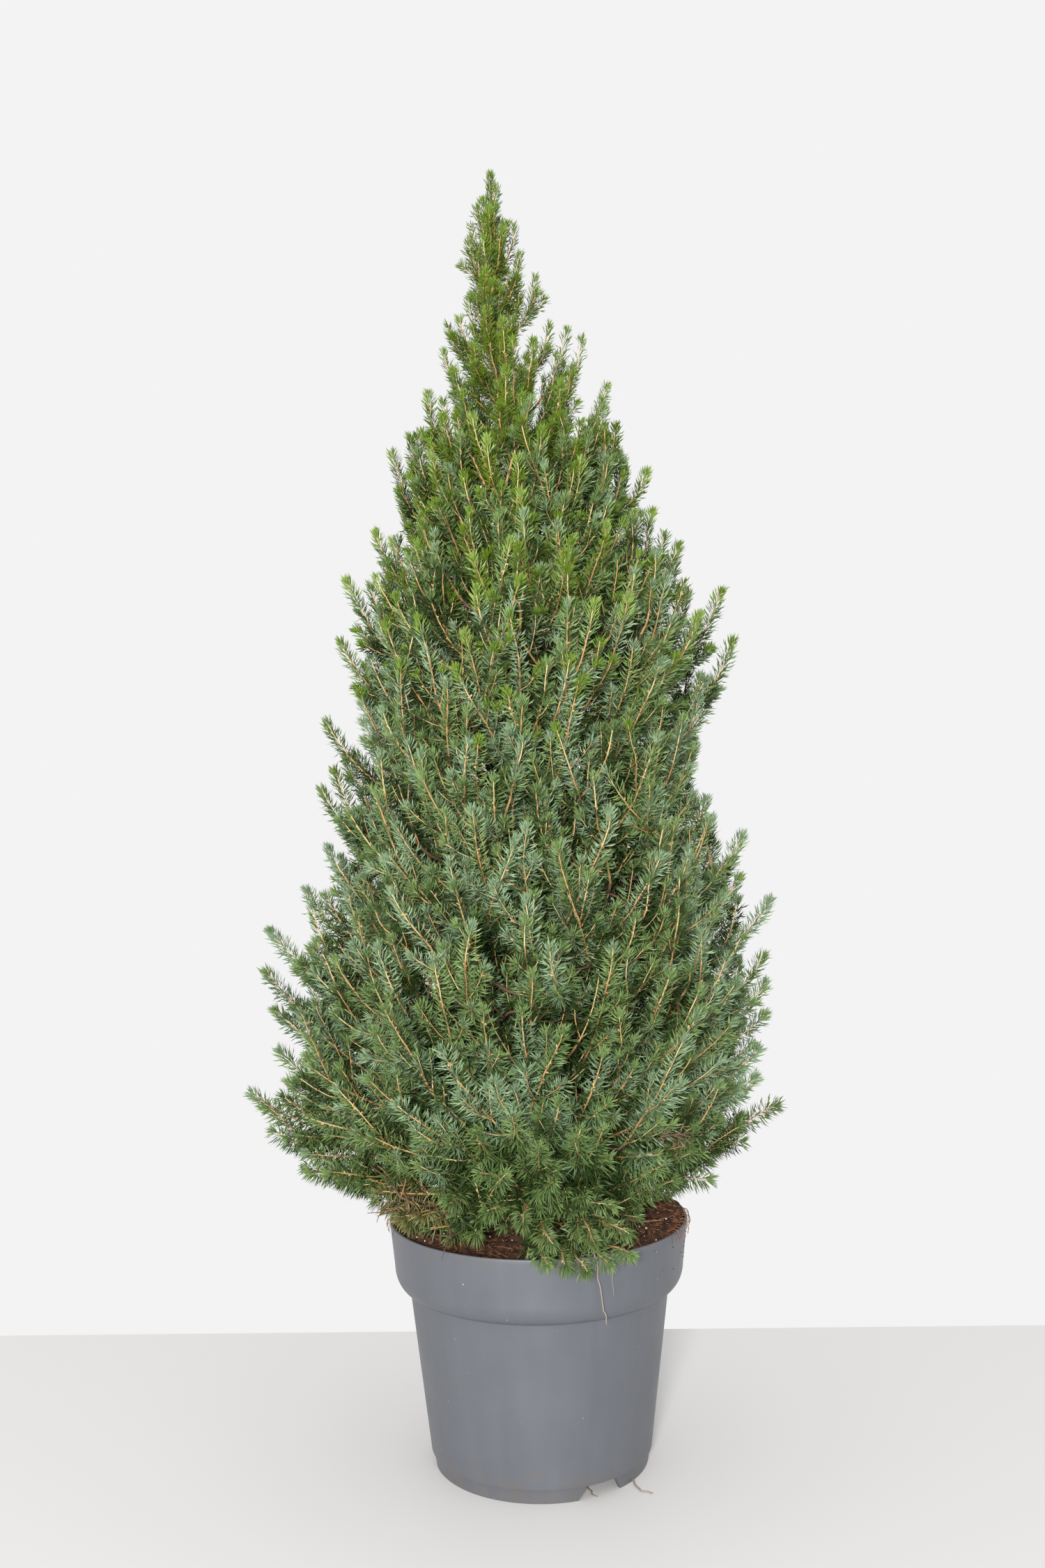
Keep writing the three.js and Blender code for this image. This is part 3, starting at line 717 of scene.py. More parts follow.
def build_trunk():
    z = np.concatenate([np.linspace(GROUND - 0.006, GROUND + 0.06, 26), np.linspace(GROUND + 0.063, TRUNK_TIP - 0.004, 300)])
    P = np.stack([stem_x(z), np.zeros_like(z), z], -1)
    P[:, 0] += 0.0006 * vnoise(np.stack([z * 9, z * 0, z * 0], -1), 3)
    P[:, 1] += 0.0008 * vnoise(np.stack([z * 9, z * 0 + 5, z * 0], -1), 4)
    R = stem_radius(np.maximum(z, GROUND)) * 0.99
    # swellings where the limbs of one year leave the stem
    for node in np.arange(0.335, 1.45, 0.072):
        R = R * (1 + 0.10 * np.exp(-(((z - node) / 0.010) ** 2)))

    def flare(a, along):
        return 0.004 * np.cos(3 * a + 0.6) * np.exp(-along / 0.018)

    relief = 0.0012
    v, q, t = bark_tube(P, R, 40, 1.0, 2, flare)
    # the relief fades with the stem's thickness
    centre = np.repeat(P, 40, 0)
    w = v[: len(centre)] - centre
    rr = np.linalg.norm(w, axis=1, keepdims=True)
    base = np.repeat(R, 40)[:, None]
    bark = (rr - base)
    v[: len(centre)] = centre + unit(w) * (base + np.clip(bark, -1.2, 1.2) * relief * np.clip(base / 0.015, 0.15, 1.1))
    return v, q, t


def build_bark():
    z = None
    v, q, t = build_trunk()
    ob = piece(mesh_object("stem_bark", v, [q, t], BARK_MAT), "bark")
    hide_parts("trunk")
    parts = []
    for i, (name, P, R, az) in enumerate(BOUGH_LINES):
        s = np.linspace(0, len(P) - 1, 34)
        PP = np.stack([np.interp(s, np.arange(len(P)), P[:, c]) for c in range(3)], -1)
        RR = np.interp(s, np.arange(len(P)), R)
        # reaches into the stem, with a collar there
        PP[0] -= unit(PP[1] - PP[0]) * 0.006
        RR = RR * 0.92
        RR[:3] *= [1.22, 1.14, 1.06]
        parts.append(bark_tube(PP, RR, 14, 0.0008, 40 + i))
    v, f = join(parts)
    ob = piece(mesh_object("bough_bark", v, f, BARK_MAT), "bark")
    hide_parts(*BOUGHS)


build_bark()

# ---------------------------------------------------------------- the crown's shape

# reach of the shoot tips from the stem, to the left and to the right, by height (metres)
ENVELOPE = np.array([
    [0.270, 0.165, 0.165], [0.300, 0.190, 0.180], [0.330, 0.222, 0.188], [0.360, 0.256, 0.200], [0.400, 0.286, 0.238],
    [0.430, 0.325, 0.262], [0.470, 0.303, 0.258], [0.530, 0.305, 0.270], [0.580, 0.312, 0.268], [0.620, 0.308, 0.272],
    [0.660, 0.280, 0.272], [0.700, 0.250, 0.255], [0.740, 0.248, 0.245], [0.790, 0.247, 0.208], [0.850, 0.238, 0.200],
    [0.880, 0.228, 0.215], [0.930, 0.217, 0.220], [0.980, 0.215, 0.225], [1.020, 0.212, 0.222], [1.060, 0.188, 0.182],
    [1.100, 0.150, 0.146], [1.140, 0.146, 0.150], [1.180, 0.140, 0.140], [1.210, 0.108, 0.122], [1.260, 0.098, 0.116],
    [1.310, 0.066, 0.104], [1.350, 0.052, 0.056], [1.400, 0.030, 0.038], [1.450, 0.024, 0.022], [1.520, 0.006, 0.006],
])
FRONT_LOW = [0.24, 0.27, 0.30, 0.34, 0.38, 0.42, 0.47]
FRONT_LOW_R = [0.186, 0.194, 0.202, 0.222, 0.246, 0.270, 0.283]


def envelope(z, az):
    z = np.asarray(z, float)
    left = np.interp(z, ENVELOPE[:, 0], ENVELOPE[:, 1])
    right = np.interp(z, ENVELOPE[:, 0], ENVELOPE[:, 2])
    side = (1 - np.cos(az)) / 2
    mean = right + (left - right) * side
    own = np.abs(np.sin(az))
    flat = 0.5 * (left + right) * (1 + 0.05 * np.sin(3 * az + 11 * z) + 0.03 * np.sin(5 * az - 23 * z))
    low = np.interp(z, FRONT_LOW, FRONT_LOW_R)
    flat = np.where(z < 0.47, low * (1 + 0.04 * np.sin(4 * az + 2)), flat)
    w = own**1.3
    return mean * (1 - w) + np.minimum(flat, 0.292) * w


def axis_at(z):
    z = np.asarray(z, float)
    return np.stack([stem_x(z), np.zeros_like(z), z], -1)


Z_EL = [0.24, 0.28, 0.33, 0.39, 0.46, 0.56, 0.70, 0.85, 1.00, 1.15, 1.30, 1.45]
EL = [-34, -16, 0, 22, 45, 60, 67, 70, 72, 75, 79, 84]


def elevation(z):
    return float(np.interp(z, Z_EL, EL))


def leader_length(z):
    return float(np.interp(z, [0.28, 0.45, 0.60, 0.90, 1.08, 1.2, 1.5], [0.080, 0.092, 0.110, 0.112, 0.098, 0.078, 0.06]))


# ---------------------------------------------------------------- shoots

SHOOTS = []
TWIGS = {k: Tubes() for k in TWIG}
TONE = [0.5]


def outward(p):
    """The direction that faces away from the plant at p."""
    p = np.asarray(p, float)
    c = axis_at(p[2])
    h = unit(np.array([p[0] - c[0], p[1] - c[1], 0.0]))
    return unit(h + np.array([0, 0, 0.22]))


def forward(p, d, length, pull, strength, n):
    """A shoot that grows from p in direction d and bends towards pull."""
    P = [np.array(p, float)]
    d = np.array(d, float)
    wob = rng.normal(0, 0.06, (n, 3))
    for i in range(n):
        d = unit(d + np.asarray(pull) * strength / n + wob[i])
        P.append(P[-1] + d * length / n)
    return np.array(P), d


def backward(p, d, length, bend_to, strength, n):
    """The stretch behind a tip at p that points along d. Older wood lies nearer to bend_to."""
    P = [np.array(p, float)]
    d = np.array(d, float)
    wob = rng.normal(0, 0.06, (n, 3))
    for i in range(n):
        P.append(P[-1] - d * length / n)
        d = unit(d + np.asarray(bend_to) * strength / n + wob[i])
    return np.array(P[::-1]), d


def clothe(P, age, fresh=0.0, density=1.0, kind="live", tuft=True, shade=0.0, bare=False):
    """Adds a length of stem P with its needles. age 0 is the newest wood."""
    if not bare:
        SHOOTS.append(dict(P=P, age=age, fresh=fresh, density=density, kind=kind, tuft=tuft, shade=shade, tone=TONE[0]))
    if shade > 0.55 and len(P) > 4:
        P = P[::2] if len(P) % 2 else np.concatenate([P[:-1:2], P[-1:]])
    n = len(P)
    s = np.linspace(0, 1, n)
    thin = float(np.interp(P[-1][2], [0.95, 1.25], [1.0, 0.78]))
    if kind == "dry":
        TWIGS["brown"].add(P, 0.0014 - 0.0005 * s, 4)
    elif age == 0:
        if n >= 7:
            r = (0.00120 - 0.00050 * s) * thin
            cut = n // 2 + 1
            TWIGS["tan" if rng.random() < 0.7 else "orange"].add(P[:cut], r[:cut], 4 if shade < 0.5 else 3)
            TWIGS["cream" if rng.random() < 0.5 else "tan"].add(P[cut - 1:], r[cut - 1:], 3)
        else:
            TWIGS["cream" if rng.random() < 0.45 else "tan"].add(P, (0.00092 - 0.00035 * s) * thin, 3)
    elif age == 1:
        TWIGS["tan" if rng.random() < 0.4 else "orange"].add(P, 0.0017 - 0.0005 * s, 4 if shade < 0.5 else 3)
    else:
        TWIGS["brown"].add(P, 0.0023 - 0.0005 * s, 4)


def side_shoots(node, axis, n, angle, length, out, up, spread=0.55):
    """Shoots that leave the axis together at one node, mostly to both sides of it, and turn up beside it."""
    a = unit(np.cross(axis, out))
    b = unit(np.cross(a, axis))
    if np.dot(b, out) < 0:
        b = -b
    start = rng.normal(0, 0.4)
    for k in range(n):
        phi = start + math.pi * k + rng.normal(0, spread)
        if k == 2:
            phi = math.pi / 2 + rng.normal(0, 0.6)
        c, s = math.cos(phi), math.sin(phi)
        if s < -0.35 and rng.random() < 0.6:
            s = -0.6 * s
        perp = unit(a * c + b * s)
        ang = math.radians(angle + rng.normal(0, 6))
        d = axis * math.cos(ang) + perp * math.sin(ang)
        L = length * (0.78 + 0.44 * rng.random())
        P, end = forward(node, d, L, axis * 0.85 + np.array([0, 0, 0.5]) * up, 0.7, 3)
        yield P, end, L


def spray(tip, d, L1, full=True, shade=0.0, fresh=None, sides=None, kind="live", density=1.0, tail=True):
    """A leading shoot with its side shoots and older wood, worked out from its tip back. Returns the base point and the direction there."""
    tip = np.asarray(tip, float)
    out = outward(tip)
    flat_out = unit(np.array([out[0], out[1], 0]))
    up = float(smooth(0.36, 0.62, tip[2]))
    if fresh is None:
        fresh = rng.random()
    TONE[0] = rng.random()
    reach = math.hypot(tip[0] - float(stem_x(tip[2])), tip[1])
    bend = np.array(flat_out) * (0.25 + 0.40 * up) + np.array([0, 0, 0.12 * (1 - up) - 0.06])
    P1, d1 = backward(tip, d, L1, bend, 0.75, 7)
    clothe(P1, 0, fresh, density, kind, shade=shade)
    node, axis = P1[0], unit(P1[1] - P1[0])
    # small shoots along the leader's lower half
    if full and rng.random() < 0.35:
        for P, e, L in side_shoots(P1[2] * 0.5 + P1[1] * 0.5, axis, 1, 36, L1 * 0.28, out, up):
            clothe(P, 0, fresh * 0.8, density, kind, shade=shade)
    n1 = (2 + int(rng.random() < 0.3) - int(rng.random() < 0.12)) if sides is None else sides
    # most side shoots at the node are set in shade, which darkens their needles: painted shade
    for P, e, L in side_shoots(node, axis, n1, 38, L1 * 0.48, out, up):
        clothe(P, 0, fresh * 0.8, density, kind, shade=max(shade, 0.3 if rng.random() < 0.6 else 0.0))
    if not tail:
        return node, axis
    # the year before
    L2 = min(L1 * (0.42 + 0.2 * rng.random()), max(0.015, reach - 0.02 - L1 * 0.5))
    P2, d2 = backward(node, axis, L2, bend, 0.4, 4)
    clothe(P2, 1, 0, 0.85 * density, kind, tuft=False, shade=shade)
    if full:
        for P, e, L in side_shoots(P2[2], unit(P2[3] - P2[2]), 1, 42, L1 * 0.40, out, up, 1.0):
            clothe(P, 0, fresh * 0.5, density, kind, shade=max(shade, 0.2))
        node2, axis2 = P2[0], unit(P2[1] - P2[0])
        # these side shoots are set in shade too, which darkens their needles: painted shade
        for P, e, L in side_shoots(node2, axis2, 1 + int(rng.random() < 0.55), 44, L1 * 0.55, out, up, 0.8):
            clothe(P, 0, fresh * 0.4, density, kind, shade=max(shade, 0.3))
        return node2, axis2
    return P2[0], unit(P2[1] - P2[0])


def direction_at(tip, tilt=0.0, swing=0.0, lean=0.0):
    """The way a shoot points at a place on the crown."""
    c = axis_at(tip[2])
    az = math.atan2(tip[1] - c[1], tip[0] - c[0]) + swing
    el = math.radians(elevation(tip[2]) + tilt)
    d = np.array([math.cos(az) * math.cos(el), math.sin(az) * math.cos(el), math.sin(el)])
    return unit(d + np.array([-math.sin(az), math.cos(az), 0]) * math.tan(math.radians(lean)))


# Leading shoots whose tips make the outline, (x, y, z) in millimetres, with the shoot's length and how far it leans outwards
KEY = [
    # the left-hand outline, from the bottom
    (-266, -30, 345, 75, -2), (-268, -40, 368, 80, 0), (-236, -10, 340, 70, -2), (-240, -60, 352, 70, 0), (-322, 10, 414, 90, -2), (-336, -10, 433, 100, 4), (-309, 30, 476, 85, 6),
    (-305, -20, 532, 105, 8), (-320, 10, 574, 100, 6), (-309, -20, 625, 105, 10), (-270, 10, 670, 100, 4), (-236, -40, 722, 95, 0), (-230, 30, 706, 95, 0),
    (-250, 10, 790, 105, 4), (-228, -40, 812, 100, 2), (-240, -10, 869, 110, 4), (-196, -50, 902, 100, 0), (-224, 0, 964, 105, 2), (-200, 40, 940, 105, 0),
    (-214, -10, 1036, 110, 2), (-181, 10, 1095, 95, 2), (-158, -30, 1078, 100, 0), (-150, 30, 1128, 90, 0), (-160, 0, 1187, 85, 4),
    # the right-hand outline
    (200, -40, 334, 65, -4), (214, 20, 350, 70, -6), (238, -20, 390, 85, -4), (284, -10, 412, 95, 0), (262, 20, 440, 85, 0), (262, -10, 478, 90, 4),
    (270, -10, 519, 100, 6), (274, 20, 552, 100, 4), (267, -20, 589, 100, 4), (280, 10, 651, 115, 8), (244, -20, 730, 100, 2), (240, 30, 700, 95, 2),
    (206, 10, 772, 95, 0), (191, -20, 835, 100, 0), (216, 10, 900, 105, 4), (238, -10, 958, 110, 6), (228, 10, 1018, 110, 4), (196, -40, 985, 105, 2),
    (176, -10, 1071, 95, 0), (141, 0, 1160, 90, 0), (113, -20, 1170, 90, 0), (150, 40, 1120, 95, 0),
    # shoots that stand on the upper third, front
    (-114, -30, 1249, 80, 0), (-97, -30, 1240, 85, 0), (-72, -60, 1241, 90, 0), (-138, 0, 1206, 80, 0), (-122, -30, 1204, 80, 0), (-43, -130, 1172, 95, 2),
    (17, -125, 1183, 95, 2), (82, -20, 1214, 85, 0), (61, -60, 1206, 85, 0), (-105, -110, 1158, 90, 2), (110, -40, 1150, 90, 2), (-5, -88, 1228, 80, 0),
    (40, -90, 1243, 85, 0), (95, 0, 1262, 95, 2), (88, -35, 1236, 85, 0), (-86, 5, 1282, 85, -2), (-60, -100, 1205, 90, 2), (-10, -135, 1150, 100, 2), (60, -110, 1150, 95, 2),
    # the same at the back
    (-85, 70, 1255, 85, 0), (70, 60, 1225, 85, 0), (-25, 115, 1225, 90, 2), (-100, 95, 1190, 90, 0), (30, 125, 1188, 90, 2), (85, 100, 1165, 90, 0),
    (-60, 135, 1160, 90, 2), (-135, 60, 1165, 85, 0), (115, 50, 1175, 85, 0), (-10, 140, 1145, 95, 2), (30, 95, 1255, 90, 0),
    # shoots in front of the stem, low down
    (-24, -246, 455, 95, 4), (24, -262, 470, 100, 0), (-60, -238, 432, 90, 2), (4, -256, 424, 90, 4), (46, -252, 440, 90, 0), (-40, -262, 492, 105, 2), (70, -258, 520, 105, 0), (30, -270, 545, 110, 2),
    # shoots that lie over the rim at the front
    (10, -206, 290, 80, -6), (30, -206, 285, 85, -8), (52, -204, 281, 80, -8), (76, -194, 285, 80, -6), (100, -184, 292, 70, -4),
    (16, -222, 316, 80, 0), (60, -214, 312, 80, 0), (96, -204, 320, 75, 0), (-14, -224, 336, 80, 4), (-52, -206, 346, 75, 4), (-92, -190, 350, 75, 4),
]
# Tips of the shoots that stand close round the leading shoot, with the length of new wood
TOP = [
    (-55, 5, 1478, 48), (-34, -7, 1496, 32), (-20, 4, 1458, 50), (-61, 0, 1453, 50), (-12, 5, 1454, 62), (-64, -8, 1433, 60), (-46, -25, 1430, 60),
    (-6, 0, 1420, 75), (-44, -45, 1386, 75), (-66, 5, 1370, 75), (12, -10, 1388, 90), (-6, 10, 1384, 70), (-44, -60, 1337, 80), (-77, -10, 1342, 80),
    (-91, 0, 1337, 85), (-96, 0, 1306, 70), (28, -5, 1334, 80), (-26, -70, 1320, 85), (-14, -85, 1294, 90), (-22, -98, 1257, 95), (49, 5, 1330, 95),
    (66, 0, 1319, 95), (-42, 24, 1452, 55), (-28, 30, 1425, 60), (-58, 32, 1402, 65), (-16, 38, 1398, 65), (-40, -30, 1462, 48), (-26, -26, 1440, 55),
    (-45, 44, 1388, 75), (-20, 60, 1345, 80), (-70, 55, 1325, 80), (10, 50, 1330, 85), (-30, 85, 1295, 90), (30, 85, 1262, 90), (44, 36, 1300, 85),
    (-88, 34, 1288, 80), (-60, -44, 1300, 80), (8, -60, 1300, 80), (36, -45, 1288, 85), (-82, -42, 1275, 80), (54, -34, 1278, 80), (-48, 12, 1488, 40),
]

BASES = []


def add_spray(tip, d, L1, **kw):
    BASES.append(spray(tip, d, L1, **kw))


# the leading shoot, on the stem itself
lead_z = np.linspace(1.405, 1.5145, 10)
lead_P = np.stack([stem_x(lead_z) + 0.0012 * np.sin((lead_z - 1.4) * 60), 0 * lead_z, lead_z], -1)
SHOOTS.append(dict(P=lead_P[3:], age=0, fresh=0.5, density=2.4, kind="live", tuft=True, shade=0.0, tone=0.3))
SHOOTS.append(dict(P=lead_P[:4], age=0, fresh=0, density=1.8, kind="live", tuft=False, shade=0.0, tone=0.3))
TWIGS["tan"].add(lead_P[:8], 0.0017 - 0.0006 * np.linspace(0, 1, 8), 5)
for z0, z1, dens in ((1.30, 1.41, 1.0), (1.18, 1.30, 0.7)):
    zs = np.linspace(z0, z1, 8)
    SHOOTS.append(dict(P=np.stack([stem_x(zs), zs * 0, zs], -1), age=1, fresh=0, density=dens, kind="live", tuft=False, shade=0.3, tone=0.3))


def stem_shoot(tip, L1, side=True):
    """A shoot that leaves the stem below its tip and turns up close to it."""
    tip = np.asarray(tip, float)
    reach = math.hypot(tip[0] - float(stem_x(tip[2])), tip[1])
    TONE[0] = rng.random()
    z0 = tip[2] - max(L1 * 0.92, reach * 1.15 + 0.018) - 0.004
    P0 = axis_at(z0)
    h = tip - P0
    flat = unit(np.array([h[0], h[1], 0]))
    d1 = direction_at(tip, tilt=rng.normal(3, 3), swing=rng.normal(0, 0.2), lean=rng.normal(0, 4))
    k = 0.38 * float(np.linalg.norm(h))
    s = np.linspace(0, 1, 12)[:, None]
    A = P0 + unit(flat * 0.75 + np.array([0, 0, 0.66])) * k
    B = tip - d1 * k
    C = (1 - s) ** 3 * P0 + 3 * (1 - s) ** 2 * s * A + 3 * (1 - s) * s**2 * B + s**3 * tip
    C[1:-1] += rng.normal(0, 0.0006, (10, 3))
    fresh = 0.45 + 0.55 * rng.random()
    clothe(C[4:], 0, fresh, 1.1)
    clothe(C[:5], 1, 0, 0.9, tuft=False, shade=0.2)
    if side:
        out = outward(tip)
        for j in (4, 6):
            if rng.random() < 0.75:
                for P, e, L in side_shoots(C[j], unit(C[j + 1] - C[j]), 1 + int(rng.random() < 0.4), 32, L1 * 0.36, out, 1.0):
                    clothe(P, 0, fresh, 1.05)


# short shoots that clothe the spire between them
for i in range(38):
    z = 1.20 + 0.285 * (i + 0.5) / 38
    az = i * 2.39996 + 0.4
    reach = float(np.interp(z, [1.20, 1.30, 1.38, 1.48], [0.060, 0.034, 0.018, 0.010])) * (0.75 + 0.4 * rng.random())
    stem_shoot((float(stem_x(z)) + reach * math.cos(az), reach * math.sin(az), z), float(np.interp(z, [1.2, 1.48], [0.075, 0.042])), side=z < 1.36)

for x, y, z, L in TOP:
    stem_shoot((x / 1000, y / 1000, z / 1000), L / 1000, side=z < 1440)

key_tips = []
for x, y, z, L, lean in KEY:
    tip = np.array([x, y, z]) / 1000
    key_tips.append(tip)
    d = direction_at(tip, tilt=-lean + rng.normal(0, 3), swing=rng.normal(0, 0.12), lean=rng.normal(0, 4))
    low = z < 340 and abs(x) < 140
    add_spray(tip, d, L / 1000, full=not low, fresh=(0.4 + 0.6 * rng.random()) if z > 900 else None, density=1.3 if abs(x) > 100 or z > 1150 else 1.0)
key_tips = np.array(key_tips)


def crown_tips(count, z0, z1, depth, jitter):
    """An even spiral of points over the crown's surface."""
    zs = np.linspace(z0, z1, 600)
    w = np.array([envelope(z, 1.5) / leader_length(z) ** 1.1 for z in zs])
    cdf = np.cumsum(w)
    cdf = (cdf - cdf[0]) / (cdf[-1] - cdf[0])
    golden = math.pi * (3 - math.sqrt(5))
    tips = []
    for i in range(count):
        z = float(np.interp((i + 0.5) / count, cdf, zs)) + rng.normal(0, 0.010) * jitter
        az = (i * golden + rng.normal(0, 0.10) * jitter) % TAU
        r = float(envelope(z, az)) * depth * (1 - 0.10 * rng.random())
        tips.append([float(stem_x(z)) + r * math.cos(az), r * math.sin(az), z])
    return np.array(tips)


def bare_patch(tip):
    """Low down at the left of the front the crown is thin, and its limbs show."""
    az = math.degrees(math.atan2(tip[1], tip[0])) % 360
    return (196 < az < 262 and tip[2] < 0.352) or (203 < az < 236 and tip[2] < 0.374) or (292 < az < 345 and tip[2] < 0.334) or (303 < az < 340 and tip[2] < 0.350)


COUNT = 385
for tip in crown_tips(COUNT, 0.322, 1.20, 0.940, 1.0):
    if np.linalg.norm(key_tips - tip, axis=1).min() < 0.034 or bare_patch(tip):
        continue
    L = leader_length(tip[2]) * (0.85 + 0.3 * rng.random())
    loose = float(np.interp(tip[2], [0.45, 0.8, 1.1], [1.1, 1.0, 0.8]))
    d = direction_at(tip, tilt=rng.normal(0, 7) * loose, swing=rng.normal(0, 0.2) * loose, lean=rng.normal(0, 10) * loose)
    add_spray(tip, d, L)

# shorter shoots inside, which close the gaps between the leading ones; their needles are darkened as painted shade
for tip in crown_tips(120, 0.345, 1.13, 0.76, 1.4):
    if bare_patch(tip):
        continue
    L = leader_length(tip[2]) * 0.72
    d = direction_at(tip, tilt=rng.normal(6, 9), swing=rng.normal(0, 0.3), lean=rng.normal(0, 12))
    add_spray(tip, d, L, full=False, shade=0.7, fresh=0.0, density=0.8)
for tip in crown_tips(44, 0.325, 0.44, 0.62, 1.4):
    if bare_patch(tip + np.array([0, 0, -0.012])):
        continue
    d = direction_at(tip, tilt=rng.normal(6, 9), swing=rng.normal(0, 0.35), lean=rng.normal(0, 12))
    add_spray(tip, d, 0.07, full=False, shade=0.6, fresh=0.0, density=0.9)
for tip in crown_tips(44, 0.38, 1.10, 0.50, 1.4):
    L = leader_length(tip[2]) * 0.8
    d = direction_at(tip, tilt=rng.normal(10, 12), swing=rng.normal(0, 0.5), lean=rng.normal(0, 16))
    add_spray(tip, d, L, full=False, shade=1.0, fresh=0.0, density=0.7, tail=False)

# short shoots close to the stem, with needles darkened as painted shade
for i in range(104):
    z = 0.40 + 0.82 * (i + 0.5) / 104
    az = i * 2.39996
    reach = float(np.interp(z, [0.40, 0.56, 1.0, 1.22], [0.115, 0.095, 0.074, 0.045])) * (0.7 + 0.5 * rng.random())
    tip = np.array([float(stem_x(z)) + reach * math.cos(az), reach * math.sin(az), z])
    TONE[0] = rng.random()
    P, d = backward(tip, direction_at(tip, tilt=rng.normal(8, 6), lean=rng.normal(0, 12)), 0.075, unit(np.array([math.cos(az), math.sin(az), 0])), 0.3, 5)
    clothe(P, 1, 0, 0.9, tuft=True, shade=1.0)
    BASES.append((P[0], unit(P[1] - P[0])))

def close_gaps(share, depth, lowest, r_from, cap):
    """Adds short shoots where the crown, seen from outside, has little wood."""
    nz, na = 46, 44
    z0, z1 = 0.355, 1.20
    grid = np.zeros((nz, na))
    for s in SHOOTS:
        P = s["P"]
        q = (P[:-1] + P[1:]) / 2
        w = np.linalg.norm(np.diff(P, axis=0), axis=1) * s["density"] * (0.6 if s["age"] == 2 else 1.0)
        q = np.concatenate([q, q + (P[1:] - P[:-1]) * 0.3]); w = np.concatenate([w, w]) / 2
        cx = stem_x(q[:, 2])
        az = np.arctan2(q[:, 1], q[:, 0] - cx) % TAU
        rr = np.hypot(q[:, 0] - cx, q[:, 1])
        iz = ((q[:, 2] - z0) / (z1 - z0) * nz).astype(int)
        ok = (iz >= 0) & (iz < nz) & (rr > r_from * envelope(q[:, 2], az)) & (q[:, 2] > z0)
        np.add.at(grid, (iz[ok], (az[ok] / TAU * na).astype(int) % na), w[ok])
    zc = z0 + (np.arange(nz) + 0.5) * (z1 - z0) / nz
    ac = (np.arange(na) + 0.5) * TAU / na
    Z, A = np.meshgrid(zc, ac, indexing="ij")
    cell = envelope(Z, A) * (TAU / na) * (z1 - z0) / nz
    cover = grid / cell
    g = (cover + np.roll(cover, 1, 1) + np.roll(cover, -1, 1)) / 3
    up, dn = np.vstack([g[1:], g[-1:]]), np.vstack([g[:1], g[:-1]])
    g = (g * 2 + up + dn) / 4
    level = np.median(g)
    added = 0
    g = g.copy()
    while added < cap:
        k = int(np.argmin(g))
        i, j = divmod(k, na)
        if g[i, j] > share * level:
            break
        z, az = zc[i], ac[j]
        L = leader_length(z) * 0.72
        el = math.radians(elevation(z))
        zt = z + 0.42 * L * math.sin(el)
        r = float(envelope(zt, az)) * depth
        tip = np.array([float(stem_x(zt)) + r * math.cos(az), r * math.sin(az), zt])
        if not bare_patch(tip):
            # these shoots are set in shade, which darkens their needles: painted shade
            add_spray(tip, direction_at(tip, tilt=rng.normal(3, 6), swing=rng.normal(0, 0.15), lean=rng.normal(0, 8)), L, full=False, shade=lowest, fresh=0.2)
            added += 1
        for di in (-1, 0, 1):
            for dj in (-1, 0, 1):
                if 0 <= i + di < nz:
                    g[i + di, (j + dj) % na] += level * (0.8 if di == 0 and dj == 0 else 0.45)
    print("GAPS closed", added, "level", round(float(level), 1), "least", round(float(g.min()), 1))


close_gaps(0.64, 0.86, 0.3, 0.72, 80)


def thin_places(seen, share, cap, near=None, width=0.84):
    """Places where one could look far into the crown. seen(p) gives a point's place in one view, near(p) tells which points count."""
    step = 0.0135
    grid = {}
    for s in SHOOTS:
        P = s["P"]
        q = np.concatenate([P[:-1] * (1 - f) + P[1:] * f for f in (0.17, 0.5, 0.83)])
        w = np.tile(np.linalg.norm(np.diff(P, axis=0), axis=1) / 3, 3) * s["density"] * (0.5 if s["age"] == 2 else 0.75 if s["shade"] > 0.55 else 1.0)
        if near is not None:
            own = near(q)
            q, w = q[own], w[own]
            if not len(q):
                continue
        uv = seen(q)
        # a needle's reach to all sides of the stem
        for du, dv in ((0, 0), (0.008, 0.003), (-0.008, 0.003), (0, 0.009), (0.005, -0.004), (-0.005, -0.004)):
            for (a, b), m in zip(np.floor((uv + [du, dv]) / step).astype(int), w):
                grid[(int(a), int(b))] = grid.get((int(a), int(b)), 0.0) + float(m) / 6
    cells = []
    for v in np.arange(0.40, 1.20, step):
        for u in np.arange(-0.30, 0.30, step):
            k = (int(math.floor(u / step)), int(math.floor(v / step)))
            c = np.array([(k[0] + 0.5) * step, (k[1] + 0.5) * step])
            if abs(c[0] - float(stem_x(c[1]))) < width * float(np.interp(c[1], ENVELOPE[:, 0], ENVELOPE[:, 1:].mean(1))):
                cells.append((k, c))
    level = float(np.median([grid.get(k, 0.0) for k, c in cells]))
    thin = sorted((grid.get(k, 0.0), k[0], k[1]) for k, c in cells if grid.get(k, 0.0) < share * level)
    placed, out = [], []
    for m, a, b in thin:
        c = np.array([(a + 0.5) * step, (b + 0.5) * step])
        if any(np.linalg.norm(c - p) < 0.030 for p in placed):
            continue
        placed.append(c)
        out.append(c)
        if len(out) >= cap:
            break
    print("THIN", len(thin), "filled", len(out), "level", round(level, 4))
    return out


EYE = np.array([0.013, -1.80, 0.79])


def from_the_front(q):
    k = (0 - EYE[1]) / (q[:, 1] - EYE[1])
    return np.stack([EYE[0] + (q[:, 0] - EYE[0]) * k, EYE[2] + (q[:, 2] - EYE[2]) * k], -1)


